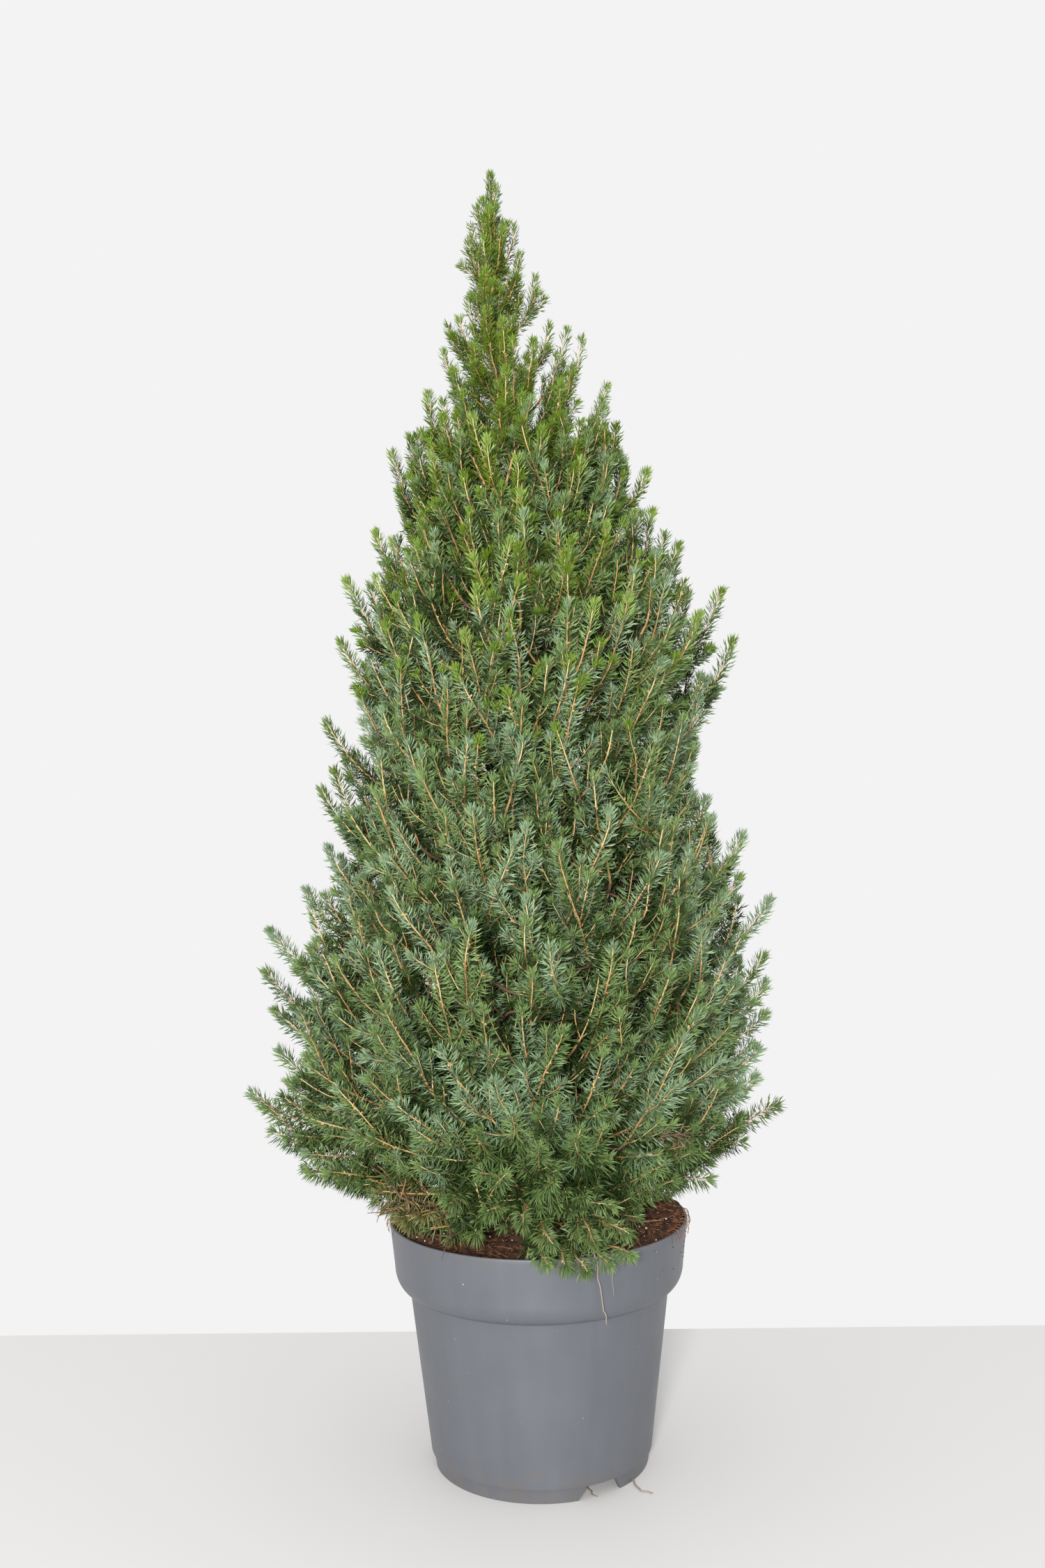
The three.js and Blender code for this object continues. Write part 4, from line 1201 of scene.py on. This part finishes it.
def from_side(a):
    """The same for a distant eye on the side a of the plant (0 at the front), with depth counted from that eye."""
    ca, sa = math.cos(a), math.sin(a)
    return (lambda q: np.stack([q[:, 0] * ca + q[:, 1] * sa, q[:, 2]], -1),
            lambda u, v, w: np.array([u * ca - w * sa, u * sa + w * ca, v]),
            lambda q: -q[:, 0] * sa + q[:, 1] * ca < -0.015)


def from_front(u, v, w):
    return np.array([EYE[0] + (u - EYE[0]) * (1 + w / 1.8), w, EYE[2] + (v - EYE[2]) * (1 + w / 1.8)])


def plug(places, back, depth):
    for c in places:
        half = float(np.interp(c[1], ENVELOPE[:, 0], ENVELOPE[:, 1:].mean(1)))
        off = min(1.0, abs(c[0] - float(stem_x(c[1]))) / half)
        w = depth * half * math.sqrt(max(0.0, 1 - off**2)) + rng.normal(0, 0.012)
        tip = back(c[0], c[1], w)
        L = 0.062
        d = direction_at(tip, tilt=8 + rng.normal(3, 6), swing=rng.normal(0, 0.3), lean=rng.normal(0, 10))
        # these shoots are set in shade, which darkens their needles: painted shade
        add_spray(tip + d * 0.4 * L, d, L, full=False, shade=0.6 if off < 0.55 else 0.5, fresh=0.0, density=1.1)


plug(thin_places(from_the_front, 0.42, 60, lambda q: q[:, 1] < -0.015, 0.66), from_front, -0.42)
for k in range(1, 8):
    seen, back, near = from_side(k * math.pi / 4)
    plug(thin_places(seen, 0.30, 15, near, 0.64), back, -0.42)
plug(thin_places(from_the_front, 0.46, 54), from_front, 0.15)
for k in (1, 2, 3):
    seen, back, near = from_side(k * math.pi / 4)
    plug(thin_places(seen, 0.42, 28), back, 0.0)

# weak, yellowed shoots that lie on the soil behind the rim at the left, and the bare limbs they come from
for x, y, z, L in ((-122, -112, 301, 44), (-96, -134, 298, 40), (-146, -92, 305, 42), (-106, -106, 314, 42), (-160, -66, 308, 44), (-170, -100, 320, 52), (-186, -82, 332, 56), (-150, -126, 318, 50), (-190, -58, 340, 56), (-128, -144, 324, 50), (-178, -108, 342, 60),
                   (-160, -96, 322, 50), (-166, -80, 334, 55), (-152, -112, 316, 50), (-173, -90, 342, 60), (-142, -122, 311, 45)):
    tip = np.array([x, y, z]) / 1000
    add_spray(tip, direction_at(tip, tilt=rng.normal(16 if x > -165 else 2, 6), swing=rng.normal(0.3 if x > -165 else 0, 0.3)), L / 1000, full=False, kind="pale" if rng.random() < 0.5 else "live", density=0.8 if x > -165 else 0.55, fresh=0.0, sides=1)
for line in (
    [(-12, -10, 312), (-60, -44, 312), (-104, -74, 316), (-138, -90, 327), (-162, -96, 340)],
    [(-104, -74, 316), (-124, -96, 314), (-146, -114, 318)],
    [(-138, -90, 327), (-156, -80, 338), (-172, -74, 352)],
    [(-16, 4, 318), (-74, -8, 318), (-128, -30, 324), (-166, -44, 332)],
    [(-128, -30, 324), (-150, -58, 318), (-168, -76, 318)],
    [(-104, -74, 316), (-132, -104, 324), (-152, -110, 336), (-170, -98, 352)],
    [(-138, -90, 327), (-158, -104, 322), (-176, -104, 316)],
    [(-60, -44, 312), (-84, -100, 318), (-96, -142, 312), (-92, -170, 306)],
    [(10, -14, 314), (44, -60, 306), (84, -96, 304), (122, -118, 308)],
    [(0, -16, 316), (-8, -70, 306), (4, -124, 302), (20, -160, 298)],
):
    line = np.array(line) / 1000
    t = np.linspace(0, len(line) - 1, 4 * len(line))
    P = np.stack([np.interp(t, np.arange(len(line)), line[:, c]) for c in range(3)], -1)
    P[1:-1] = (P[:-2] + 2 * P[1:-1] + P[2:]) / 4
    P += rng.normal(0, 0.0008, P.shape)
    first = 0.0034 if line[0][0] > -0.05 else 0.0021
    TWIGS["brown"].add(P, np.linspace(first, 0.0010, len(P)), 6)
    # thin dead side twigs
    for k in range(4, len(P) - 1, 2):
        ax = unit(P[k + 1] - P[k])
        side = unit(np.cross(ax, rng.normal(0, 1, 3)))
        Q, e = forward(P[k], unit(ax * 0.6 + side), 0.016 + 0.022 * rng.random(), ax + np.array([0, 0, -0.2]), 0.5, 4)
        TWIGS["orange" if rng.random() < 0.5 else "brown"].add(Q, np.linspace(0.0008, 0.0004, 5), 3)
# a dead twig with dry needles on it, at the right of the front
TONE[0] = 0.5
for x, y, z, L in ((156, -206, 424, 27),):
    tip = np.array([x, y, z]) / 1000
    P, d = backward(tip, unit(np.array([0.75, -0.45, 0.15])), L / 1000, np.array([0.2, -0.2, 0.3]), 0.5, 5)
    clothe(P, 0, 0, 0.55, "dry", tuft=False)

# ---------------------------------------------------------------- limbs from the boughs and the stem to the sprays

def build_limbs():
    samples, tangents, owner = [], [], []
    curves = []
    for i, (name, P, R, az) in enumerate(BOUGH_LINES):
        t = unit(np.gradient(P, axis=0))
        for k in range(6, len(P)):
            samples.append(P[k]); tangents.append(t[k]); owner.append(-1)
    for z in np.arange(0.56, 1.40, 0.012):
        samples.append(axis_at(z)); tangents.append(np.array([0, 0, 1.0])); owner.append(-1)
    S, Tn, Ow = np.array(samples), np.array(tangents), np.array(owner)
    order = sorted(range(len(BASES)), key=lambda i: float(np.linalg.norm(S - BASES[i][0], axis=1).min()))
    for i in order:
        B, bd = BASES[i]
        v = B - S
        dist = np.linalg.norm(v, axis=1)
        along = (v * Tn).sum(1) / np.maximum(dist, 1e-6)
        ahead = (v * bd).sum(1) / np.maximum(dist, 1e-6)
        rise = v[:, 2] / np.maximum(dist, 1e-6)
        want = float(np.interp(B[2], [0.3, 0.5, 0.9], [0.0, 0.35, 0.62]))
        cost = dist * (1 + 0.9 * np.maximum(0, 0.35 - along) + 0.8 * np.maximum(0, 0.5 - ahead)) + 0.05 * np.abs(rise - want)
        cost = np.where(dist < 0.012, cost + 0.02, cost)
        k = int(np.argmin(cost))
        P0, t0 = S[k], unit(Tn[k] * 0.45 + unit(B - S[k]) * 0.9)
        h = dist[k] * 0.36
        s = np.linspace(0, 1, 8)[:, None]
        C = (1 - s) ** 3 * P0 + 3 * (1 - s) ** 2 * s * (P0 + t0 * h) + 3 * (1 - s) * s**2 * (B - bd * h) + s**3 * B
        C[1:-1] += rng.normal(0, 0.0010, (6, 3))
        curves.append([C, int(Ow[k]), 1])
        me = len(curves) - 1
        tt = unit(np.gradient(C, axis=0))
        S = np.concatenate([S, C[2:-1]]); Tn = np.concatenate([Tn, tt[2:-1]]); Ow = np.concatenate([Ow, np.full(len(C) - 3, me)])
    for i in range(len(curves) - 1, -1, -1):
        if curves[i][1] >= 0:
            curves[curves[i][1]][2] += curves[i][2]
    for C, parent, n in curves:
        r0 = min(0.0050, 0.0020 * n**0.40 + 0.0001)
        r = r0 + (0.0019 - r0) * np.linspace(0, 1, 8)
        TWIGS["brown"].add(C, r, 5 if n > 6 else 3) if n > 2 else TWIGS["brown"].add(C[[0, 2, 4, 6, 7]], r[[0, 2, 4, 6, 7]], 3)
        L = float(np.linalg.norm(np.diff(C, axis=0), axis=1).sum())
        if L > 0.05:
            # old needles along the limbs, in the darkest green: older, and painted shade
            SHOOTS.append(dict(P=C[4:], age=2, fresh=0, density=0.4, kind="live", tuft=False, shade=0.8, tone=0.5))
    return curves


LIMBS = build_limbs()

# ---------------------------------------------------------------- needles

class Needles:
    def __init__(self):
        self.b, self.d, self.l, self.n, self.w, self.bend = [], [], [], [], [], []

    def add(self, b, d, l, n, w, bend):
        self.b.append(b); self.d.append(d); self.l.append(l); self.n.append(n); self.w.append(w); self.bend.append(bend)


CLASSES = {k: Needles() for k in NEEDLE}
PEGS = {k: Needles() for k in ("cream", "tan", "orange")}


def curve_at(P, t):
    n = len(P) - 1
    x = np.clip(t, 0, 1) * n
    i = np.minimum(x.astype(int), n - 1)
    f = (x - i)[:, None]
    p = P[i] * (1 - f) + P[i + 1] * f
    tan = unit(np.gradient(P, axis=0))
    d = unit(tan[i] * (1 - f) + tan[i + 1] * f)
    return p, d


# BRIGHTER gives the colour of new growth; DARKER gives darker copies, used for older needles and as painted shade
BRIGHTER = {"fresh": "fresh", "lime": "fresh", "top": "lime", "moss": "top", "green": "leaf", "low": "green", "leaf": "blue_light", "blue_light": "blue_light", "blue": "leaf", "old_and_shade": "green", "pale": "pale", "dry": "dry"}
DARKER = {"lime": "top", "top": "moss", "moss": "green", "leaf": "green", "blue_light": "blue", "green": "old_and_shade", "low": "old_and_shade", "blue": "old_and_shade", "old_and_shade": "old_and_shade"}


def deal(z, u, age, shade, kind):
    """The colour of a shoot's needles, by height on the plant, by age and by chance. Shoots set in shade get darker
    copies of their colour: painted shade.
    """
    if kind != "live":
        return kind
    # old wood and shoots deep inside get the darkest green: darker for age, and painted shade
    if shade > 0.55 or age == 2:
        return "old_and_shade" if u < 0.75 else "green"
    if z > 1.16:
        a = ["top", "top", "moss", "top", "green"]
    elif z > 0.98:
        a = ["leaf", "top", "green", "leaf", "leaf"]
    elif z > 0.66:
        a = ["leaf", "blue_light", "green", "leaf", "blue_light"]
    elif z > 0.42:
        a = ["blue_light", "leaf", "blue", "blue_light", "green"]
    elif z > 0.36:
        a = ["leaf", "green", "low", "green", "blue"]
    else:
        a = ["green", "low", "low", "green", "low"]
    k = a[int(u * 5) % 5]
    # last year's needles are darker; shoots set in shade also get the darker copy: painted shade
    if age == 1 or (shade > 0.25 and u < 0.7):
        k = DARKER[k]
    return k


DENSITY = 1520.0  # needles for each metre of new shoot


def needles_on(s):
    P, age = s["P"], s["age"]
    L = float(np.linalg.norm(np.diff(P, axis=0), axis=1).sum())
    mid = P[len(P) // 2]
    z = float(mid[2])
    style = float(smooth(0.27, 0.46, z))  # 0 in the hanging skirt, 1 above
    inner = s["shade"] > 0.55
    high = float(smooth(1.08, 1.24, z))  # towards the top the needles are finer and stand closer
    edge_on = age == 0 and abs(mid[0] - float(stem_x(z))) > 0.76 * float(envelope(z, 0.0 if mid[0] > 0 else math.pi)) and z < 1.22
    m = int(DENSITY * s["density"] * L * {0: 1.0, 1: 0.72, 2: 0.28}[age] * (0.38 if inner else 1.0) * (1 + 0.45 * high) * (1.44 if edge_on else 1.0))
    if m < 3:
        return
    t = (np.arange(m) + rng.random(m)) / m
    t = t if age else t**0.94
    phi = np.arange(m) * 2.39996 + rng.normal(0, 0.35, m)
    p, ax = curve_at(P, t)
    out = outward(mid)
    a = unit(np.cross(ax, out + 1e-3))
    b = np.cross(a, ax)
    b = b * np.sign((b * out).sum(1, keepdims=True) + 1e-9)
    rad = a * np.cos(phi)[:, None] + b * np.sin(phi)[:, None]
    # fewer needles on the side that faces out, where the stem shows through
    face = (rad * out).sum(1)
    if age == 0 and not inner:
        keep = rng.random(m) < np.where(face > 0.5, 0.85 + 0.2 * smooth(0.3, 0.7, t) + 0.1 * high, np.where(face < -0.6, 0.85 if edge_on else 0.34, 1.0))
    else:
        keep = rng.random(m) < 0.95
    t, p, ax, rad, face = t[keep], p[keep], ax[keep], rad[keep], face[keep]
    m = len(t)
    # low on the plant the needles comb downwards
    rad = unit(rad + np.array([0, 0, -1.0]) * 0.75 * (1 - style))
    theta_mid = np.interp(z, [0.28, 0.42, 0.60, 0.90, 1.20, 1.50], [72, 68, 63, 59, 51, 44])
    lie = (face > 0.3) & (rng.random(m) < 0.25 + 0.45 * t) & (age == 0) & (not inner) & (style > 0.3)
    theta = np.radians(theta_mid * (1 - ((0.5 - 0.22 * high) * smooth(0.70, 1.0, t) if age == 0 else 0)) + rng.normal(0, 1, m) * np.where(face > 0.35, 16, 8))
    theta = np.where(lie, np.radians(14 + 22 * rng.random(m)), theta)
    length = np.interp(z, [0.28, 0.45, 0.65, 1.05, 1.2, 1.5], [0.0190, 0.0176, 0.0163, 0.0152, 0.0135, 0.0126]) * (0.80 + 0.26 * rng.random(m))
    if age == 0:
        length = length * (1 - 0.25 * smooth(0.84, 1.0, t)) * (0.86 + 0.14 * smooth(0, 0.15, t))
    d = ax * np.cos(theta)[:, None] + rad * np.sin(theta)[:, None]
    droop = (1 - style) * (0.22 + 0.22 * rng.random(m))
    d = unit(d + np.array([0, 0, -1.0]) * droop[:, None] + rng.normal(0, 0.06, (m, 3)))
    # the needle's broad side faces about outwards
    n = unit(out + rng.normal(0, 0.55, (m, 3)))
    n = unit(n - d * (n * d).sum(1, keepdims=True))
    width = (0.0031 if inner else (0.00143 - 0.00024 * high) * (1.22 if edge_on else 1.0)) * (0.85 + 0.3 * rng.random(m))
    if inner:
        length = length * 1.15
    base = p + rad * np.where(lie, 0.0016, 0.0009)[:, None]
    bend = unit(ax * 0.8 * (0.3 + 0.7 * style) + np.array([0, 0, -0.7]) * (1 - style)) * ((0.17 + 0.12 * rng.random(m)) * (1 + 0.6 * (1 - style)))[:, None]
    u = (s["tone"] + rng.normal(0, 0.16)) % 1.0
    main = deal(z, u, age, s["shade"], s["kind"])
    # shoots at the outline get a darker copy of their colour: painted shade
    if edge_on and s["kind"] == "live" and u > 0.35 and main in ("leaf", "blue_light", "top"):
        main = DARKER[main]
    CL = CLASSES[main]
    bright = BRIGHTER[main]
    live = s["kind"] == "live"
    glow = s["fresh"] * float(smooth(0.62, 1.02, z)) * (1 - 0.5 * float(smooth(1.15, 1.3, z)))
    if age == 0 and glow > 0.3 and live and s["shade"] < 0.5:
        edge = 0.92 - 0.16 * glow
        bright = "fresh" if glow > 0.74 else "lime"
    else:
        edge = 0.90
    if age == 0 and live and not inner:
        young = t + rng.normal(0, 0.025, m) > edge
        if young.any():
            CLASSES[bright].add(base[young], d[young], length[young], n[young], width[young], bend[young])
        # the lower part of a shoot is darker than its end
        old = ~young & (t + rng.normal(0, 0.12, m) < 0.40) & (main in DARKER)
        if old.any():
            CLASSES[DARKER[main]].add(base[old], d[old], length[old], n[old], width[old], bend[old])
        rest = ~young & ~old
        CL.add(base[rest], d[rest], length[rest], n[rest], width[rest], bend[rest])
    else:
        CL.add(base, d, length, n, width, bend)
    if age < 2 and not inner and s["shade"] < 0.5:
        # the raised pegs that the needles stand on roughen the stem
        k = int(L * (190 if len(P) >= 7 else 60))
        if k:
            tp = rng.random(k) * (0.82 if age == 0 else 1.0)
            pp, pa = curve_at(P, tp)
            f = rng.random(k) * TAU
            ea = unit(np.cross(pa, out + 1e-3)); eb = np.cross(ea, pa)
            pr = ea * np.cos(f)[:, None] + eb * np.sin(f)[:, None]
            pd = unit(pa * 0.8 + pr * (0.6 + 0.7 * rng.random(k))[:, None])
            pn = unit(out + rng.normal(0, 0.5, (k, 3)))
            pn = unit(pn - pd * (pn * pd).sum(1, keepdims=True))
            key = ("cream" if s["tone"] > 0.6 else "tan") if age == 0 else "orange"
            part = tp < 0.5
            lower = {"cream": "tan", "tan": "orange", "orange": "orange"}[key]
            for k2, sel in ((key, ~part), (lower, part)):
                if sel.any():
                    PEGS[k2].add(pp[sel] + pr[sel] * 0.0003, pd[sel], 0.0026 + 0.0022 * rng.random(int(sel.sum())), pn[sel],
                                 0.0017 + 0.0008 * rng.random(int(sel.sum())), pr[sel] * 0.25)
    if s["tuft"]:
        # the bundle of needles that closes over the bud
        k = 12 if inner else 26
        tip, ad = P[-1], unit(P[-1] - P[-2])
        az = rng.random(k) * TAU
        th = np.radians(6 + (42 + 12 * high) * rng.random(k))
        ref = np.array([0, 0, 1.0]) if abs(ad[2]) < 0.9 else np.array([1.0, 0, 0])
        e1 = unit(np.cross(ad, ref)); e2 = np.cross(ad, e1)
        rr = np.cos(az)[:, None] * e1 + np.sin(az)[:, None] * e2
        dd = ad * np.cos(th)[:, None] + rr * np.sin(th)[:, None]
        bb = tip - ad * (0.008 * rng.random(k))[:, None]
        nn = unit(out + rng.normal(0, 0.6, (k, 3)))
        nn = unit(nn - dd * (nn * dd).sum(1, keepdims=True))
        ll = (0.0108 - 0.0014 * high) * (0.75 + 0.35 * rng.random(k)) * (1.15 if style < 0.5 else 1)
        if inner:
            bright = main
        CLASSES[bright].add(bb, dd, ll, nn, (0.0014 - 0.0002 * high) * np.ones(k), -rr * 0.10)


for s in SHOOTS:
    needles_on(s)

LIMIT_LO = np.array(cad_lo) - (np.array(cad_hi) - np.array(cad_lo)) * 0.03 - 0.008
LIMIT_HI = np.array(cad_hi) + (np.array(cad_hi) - np.array(cad_lo)) * 0.03 + 0.008


def kites(N):
    b, d = np.concatenate(N.b), np.concatenate(N.d)
    l, n = np.concatenate(N.l)[:, None], np.concatenate(N.n)
    w, bend = np.concatenate(N.w)[:, None], np.concatenate(N.bend)
    d0, d1, d2 = unit(d - bend), d, unit(d + bend)
    near = b + d0 * l * 0.32
    far = near + d1 * l * 0.34
    tip = far + d2 * l * 0.34
    # none inside the pot's wall or in the soil, none outside the room the plant has
    r = np.hypot(tip[:, 0], tip[:, 1])
    rb = np.hypot(b[:, 0], b[:, 1])
    ground = soil_height(tip[:, 0], tip[:, 1])
    ok = ~((r < 0.1765) & (tip[:, 2] < 0.2855) & (r > 0.165)) & ~((r <= 0.168) & (tip[:, 2] < ground))
    ok &= ~((rb < 0.177) & (b[:, 2] < 0.288) & (rb > 0.16)) & ~((r < 0.176) & (tip[:, 2] < 0.262))
    ok &= (tip > LIMIT_LO).all(1) & (tip < LIMIT_HI).all(1)
    b, near, far, tip, w, n, d = b[ok], near[ok], far[ok], tip[ok], w[ok], n[ok], d[ok]
    side = unit(np.cross(d, n)) * w * 0.5
    v = np.stack([b, near - side, tip, far + side], 1)
    return v


def build_needles():
    total = 0
    for name, N in CLASSES.items():
        if not N.b:
            continue
        v = kites(N)
        per = 95000
        parts = int(math.ceil(len(v) / per))
        for k, chunk in enumerate(np.array_split(v, parts)):
            m = len(chunk)
            total += m * 2
            i = np.arange(m)[:, None] * 4
            f = np.stack([i + [0, 1, 3], i + [1, 2, 3]], 1).reshape(-1, 3)
            label = f"needles_{name}" + (f"_{k + 1}" if parts > 1 else "")
            slot = "foliage_top" if name in ("fresh", "lime", "top") else "foliage_middle" if name in ("leaf", "blue_light") else "foliage_low"
            ob = mesh_object(label, chunk.reshape(-1, 3), f, NEEDLE_MAT[name], smooth_shade=False)
            piece(ob, slot)
            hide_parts(*MASSES)
    return total


needle_faces = build_needles()
peg_faces = 0
for name, N in PEGS.items():
    v = kites(N)
    i = np.arange(len(v))[:, None] * 4
    f = np.stack([i + [0, 1, 3], i + [1, 2, 3]], 1).reshape(-1, 3)
    peg_faces += len(f)
    ob = mesh_object("pegs_" + name, v.reshape(-1, 3), f, TWIG_MAT[name], smooth_shade=False)
    piece(ob, "bark")
    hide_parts(*MASSES)
twig_faces = 0
for k, T in TWIGS.items():
    ob = T.build("twigs_" + k, TWIG_MAT[k], "bark")
    if ob:
        twig_faces += sum(len(p.vertices) - 2 for p in ob.data.polygons)
        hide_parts(*MASSES)
print("FACES pegs", peg_faces, "needles", needle_faces, "twigs", twig_faces, "shoots", len(SHOOTS), "limbs", len(LIMBS))
for k, N in CLASSES.items():
    print("  class", k, sum(len(x) for x in N.b))

# ---------------------------------------------------------------- camera, light, floor

F_PX, PITCH, ROLL, YAW = 2187.5, -0.0007, -0.0149, -0.0135
cam_at = Vector((0.01316, -1.8028, 0.7915))
fw = Vector((math.sin(YAW) * math.cos(PITCH), math.cos(YAW) * math.cos(PITCH), -math.sin(PITCH)))
right = fw.cross(Vector((0, 0, 1))).normalized()
upv = right.cross(fw)
r2 = right * math.cos(ROLL) + upv * math.sin(ROLL)
u2 = -right * math.sin(ROLL) + upv * math.cos(ROLL)
cam_data = bpy.data.cameras.new("camera")
cam_data.sensor_fit = "AUTO"
cam_data.sensor_width = 36
cam_data.lens = 36 * F_PX / 2250
cam_data.clip_start, cam_data.clip_end = 0.05, 60
cam = bpy.data.objects.new("camera", cam_data)
M = Matrix.Identity(4)
for i, col in enumerate((r2, u2, -fw, cam_at)):
    M.col[i][:3] = col
cam.matrix_world = M
scene.collection.objects.link(cam)
scene.camera = cam

floor_mat = principled("floor_paint", (0.655, 0.652, 0.644), 0.6, 0.3)
fv = np.array([[-3, -3, 0], [3, -3, 0], [3, 0.41, 0], [-3, 0.41, 0]], float)
fl = mesh_object("floor", fv, np.array([[0, 1, 2, 3]]), floor_mat, False)

world = bpy.data.worlds.new("studio")
world.use_nodes = True
bg = world.node_tree.nodes["Background"]
bg.inputs["Color"].default_value = (0.90, 0.895, 0.90, 1)
bg.inputs["Strength"].default_value = 1.0
scene.world = world


def area(name, at, look, size, energy, colour=(1, 1, 1)):
    data = bpy.data.lights.new(name, "AREA")
    data.shape = "DISK"
    data.size = size
    data.energy = energy
    data.color = colour
    ob = bpy.data.objects.new(name, data)
    ob.location = at
    ob.rotation_mode = "QUATERNION"
    ob.rotation_quaternion = (Vector(look) - Vector(at)).to_track_quat("-Z", "Y")
    scene.collection.objects.link(ob)
    return ob


area("key", (-0.60, -5.4, 1.75), (0, 0, 0.72), 0.9, 430, (1.0, 0.985, 0.96))
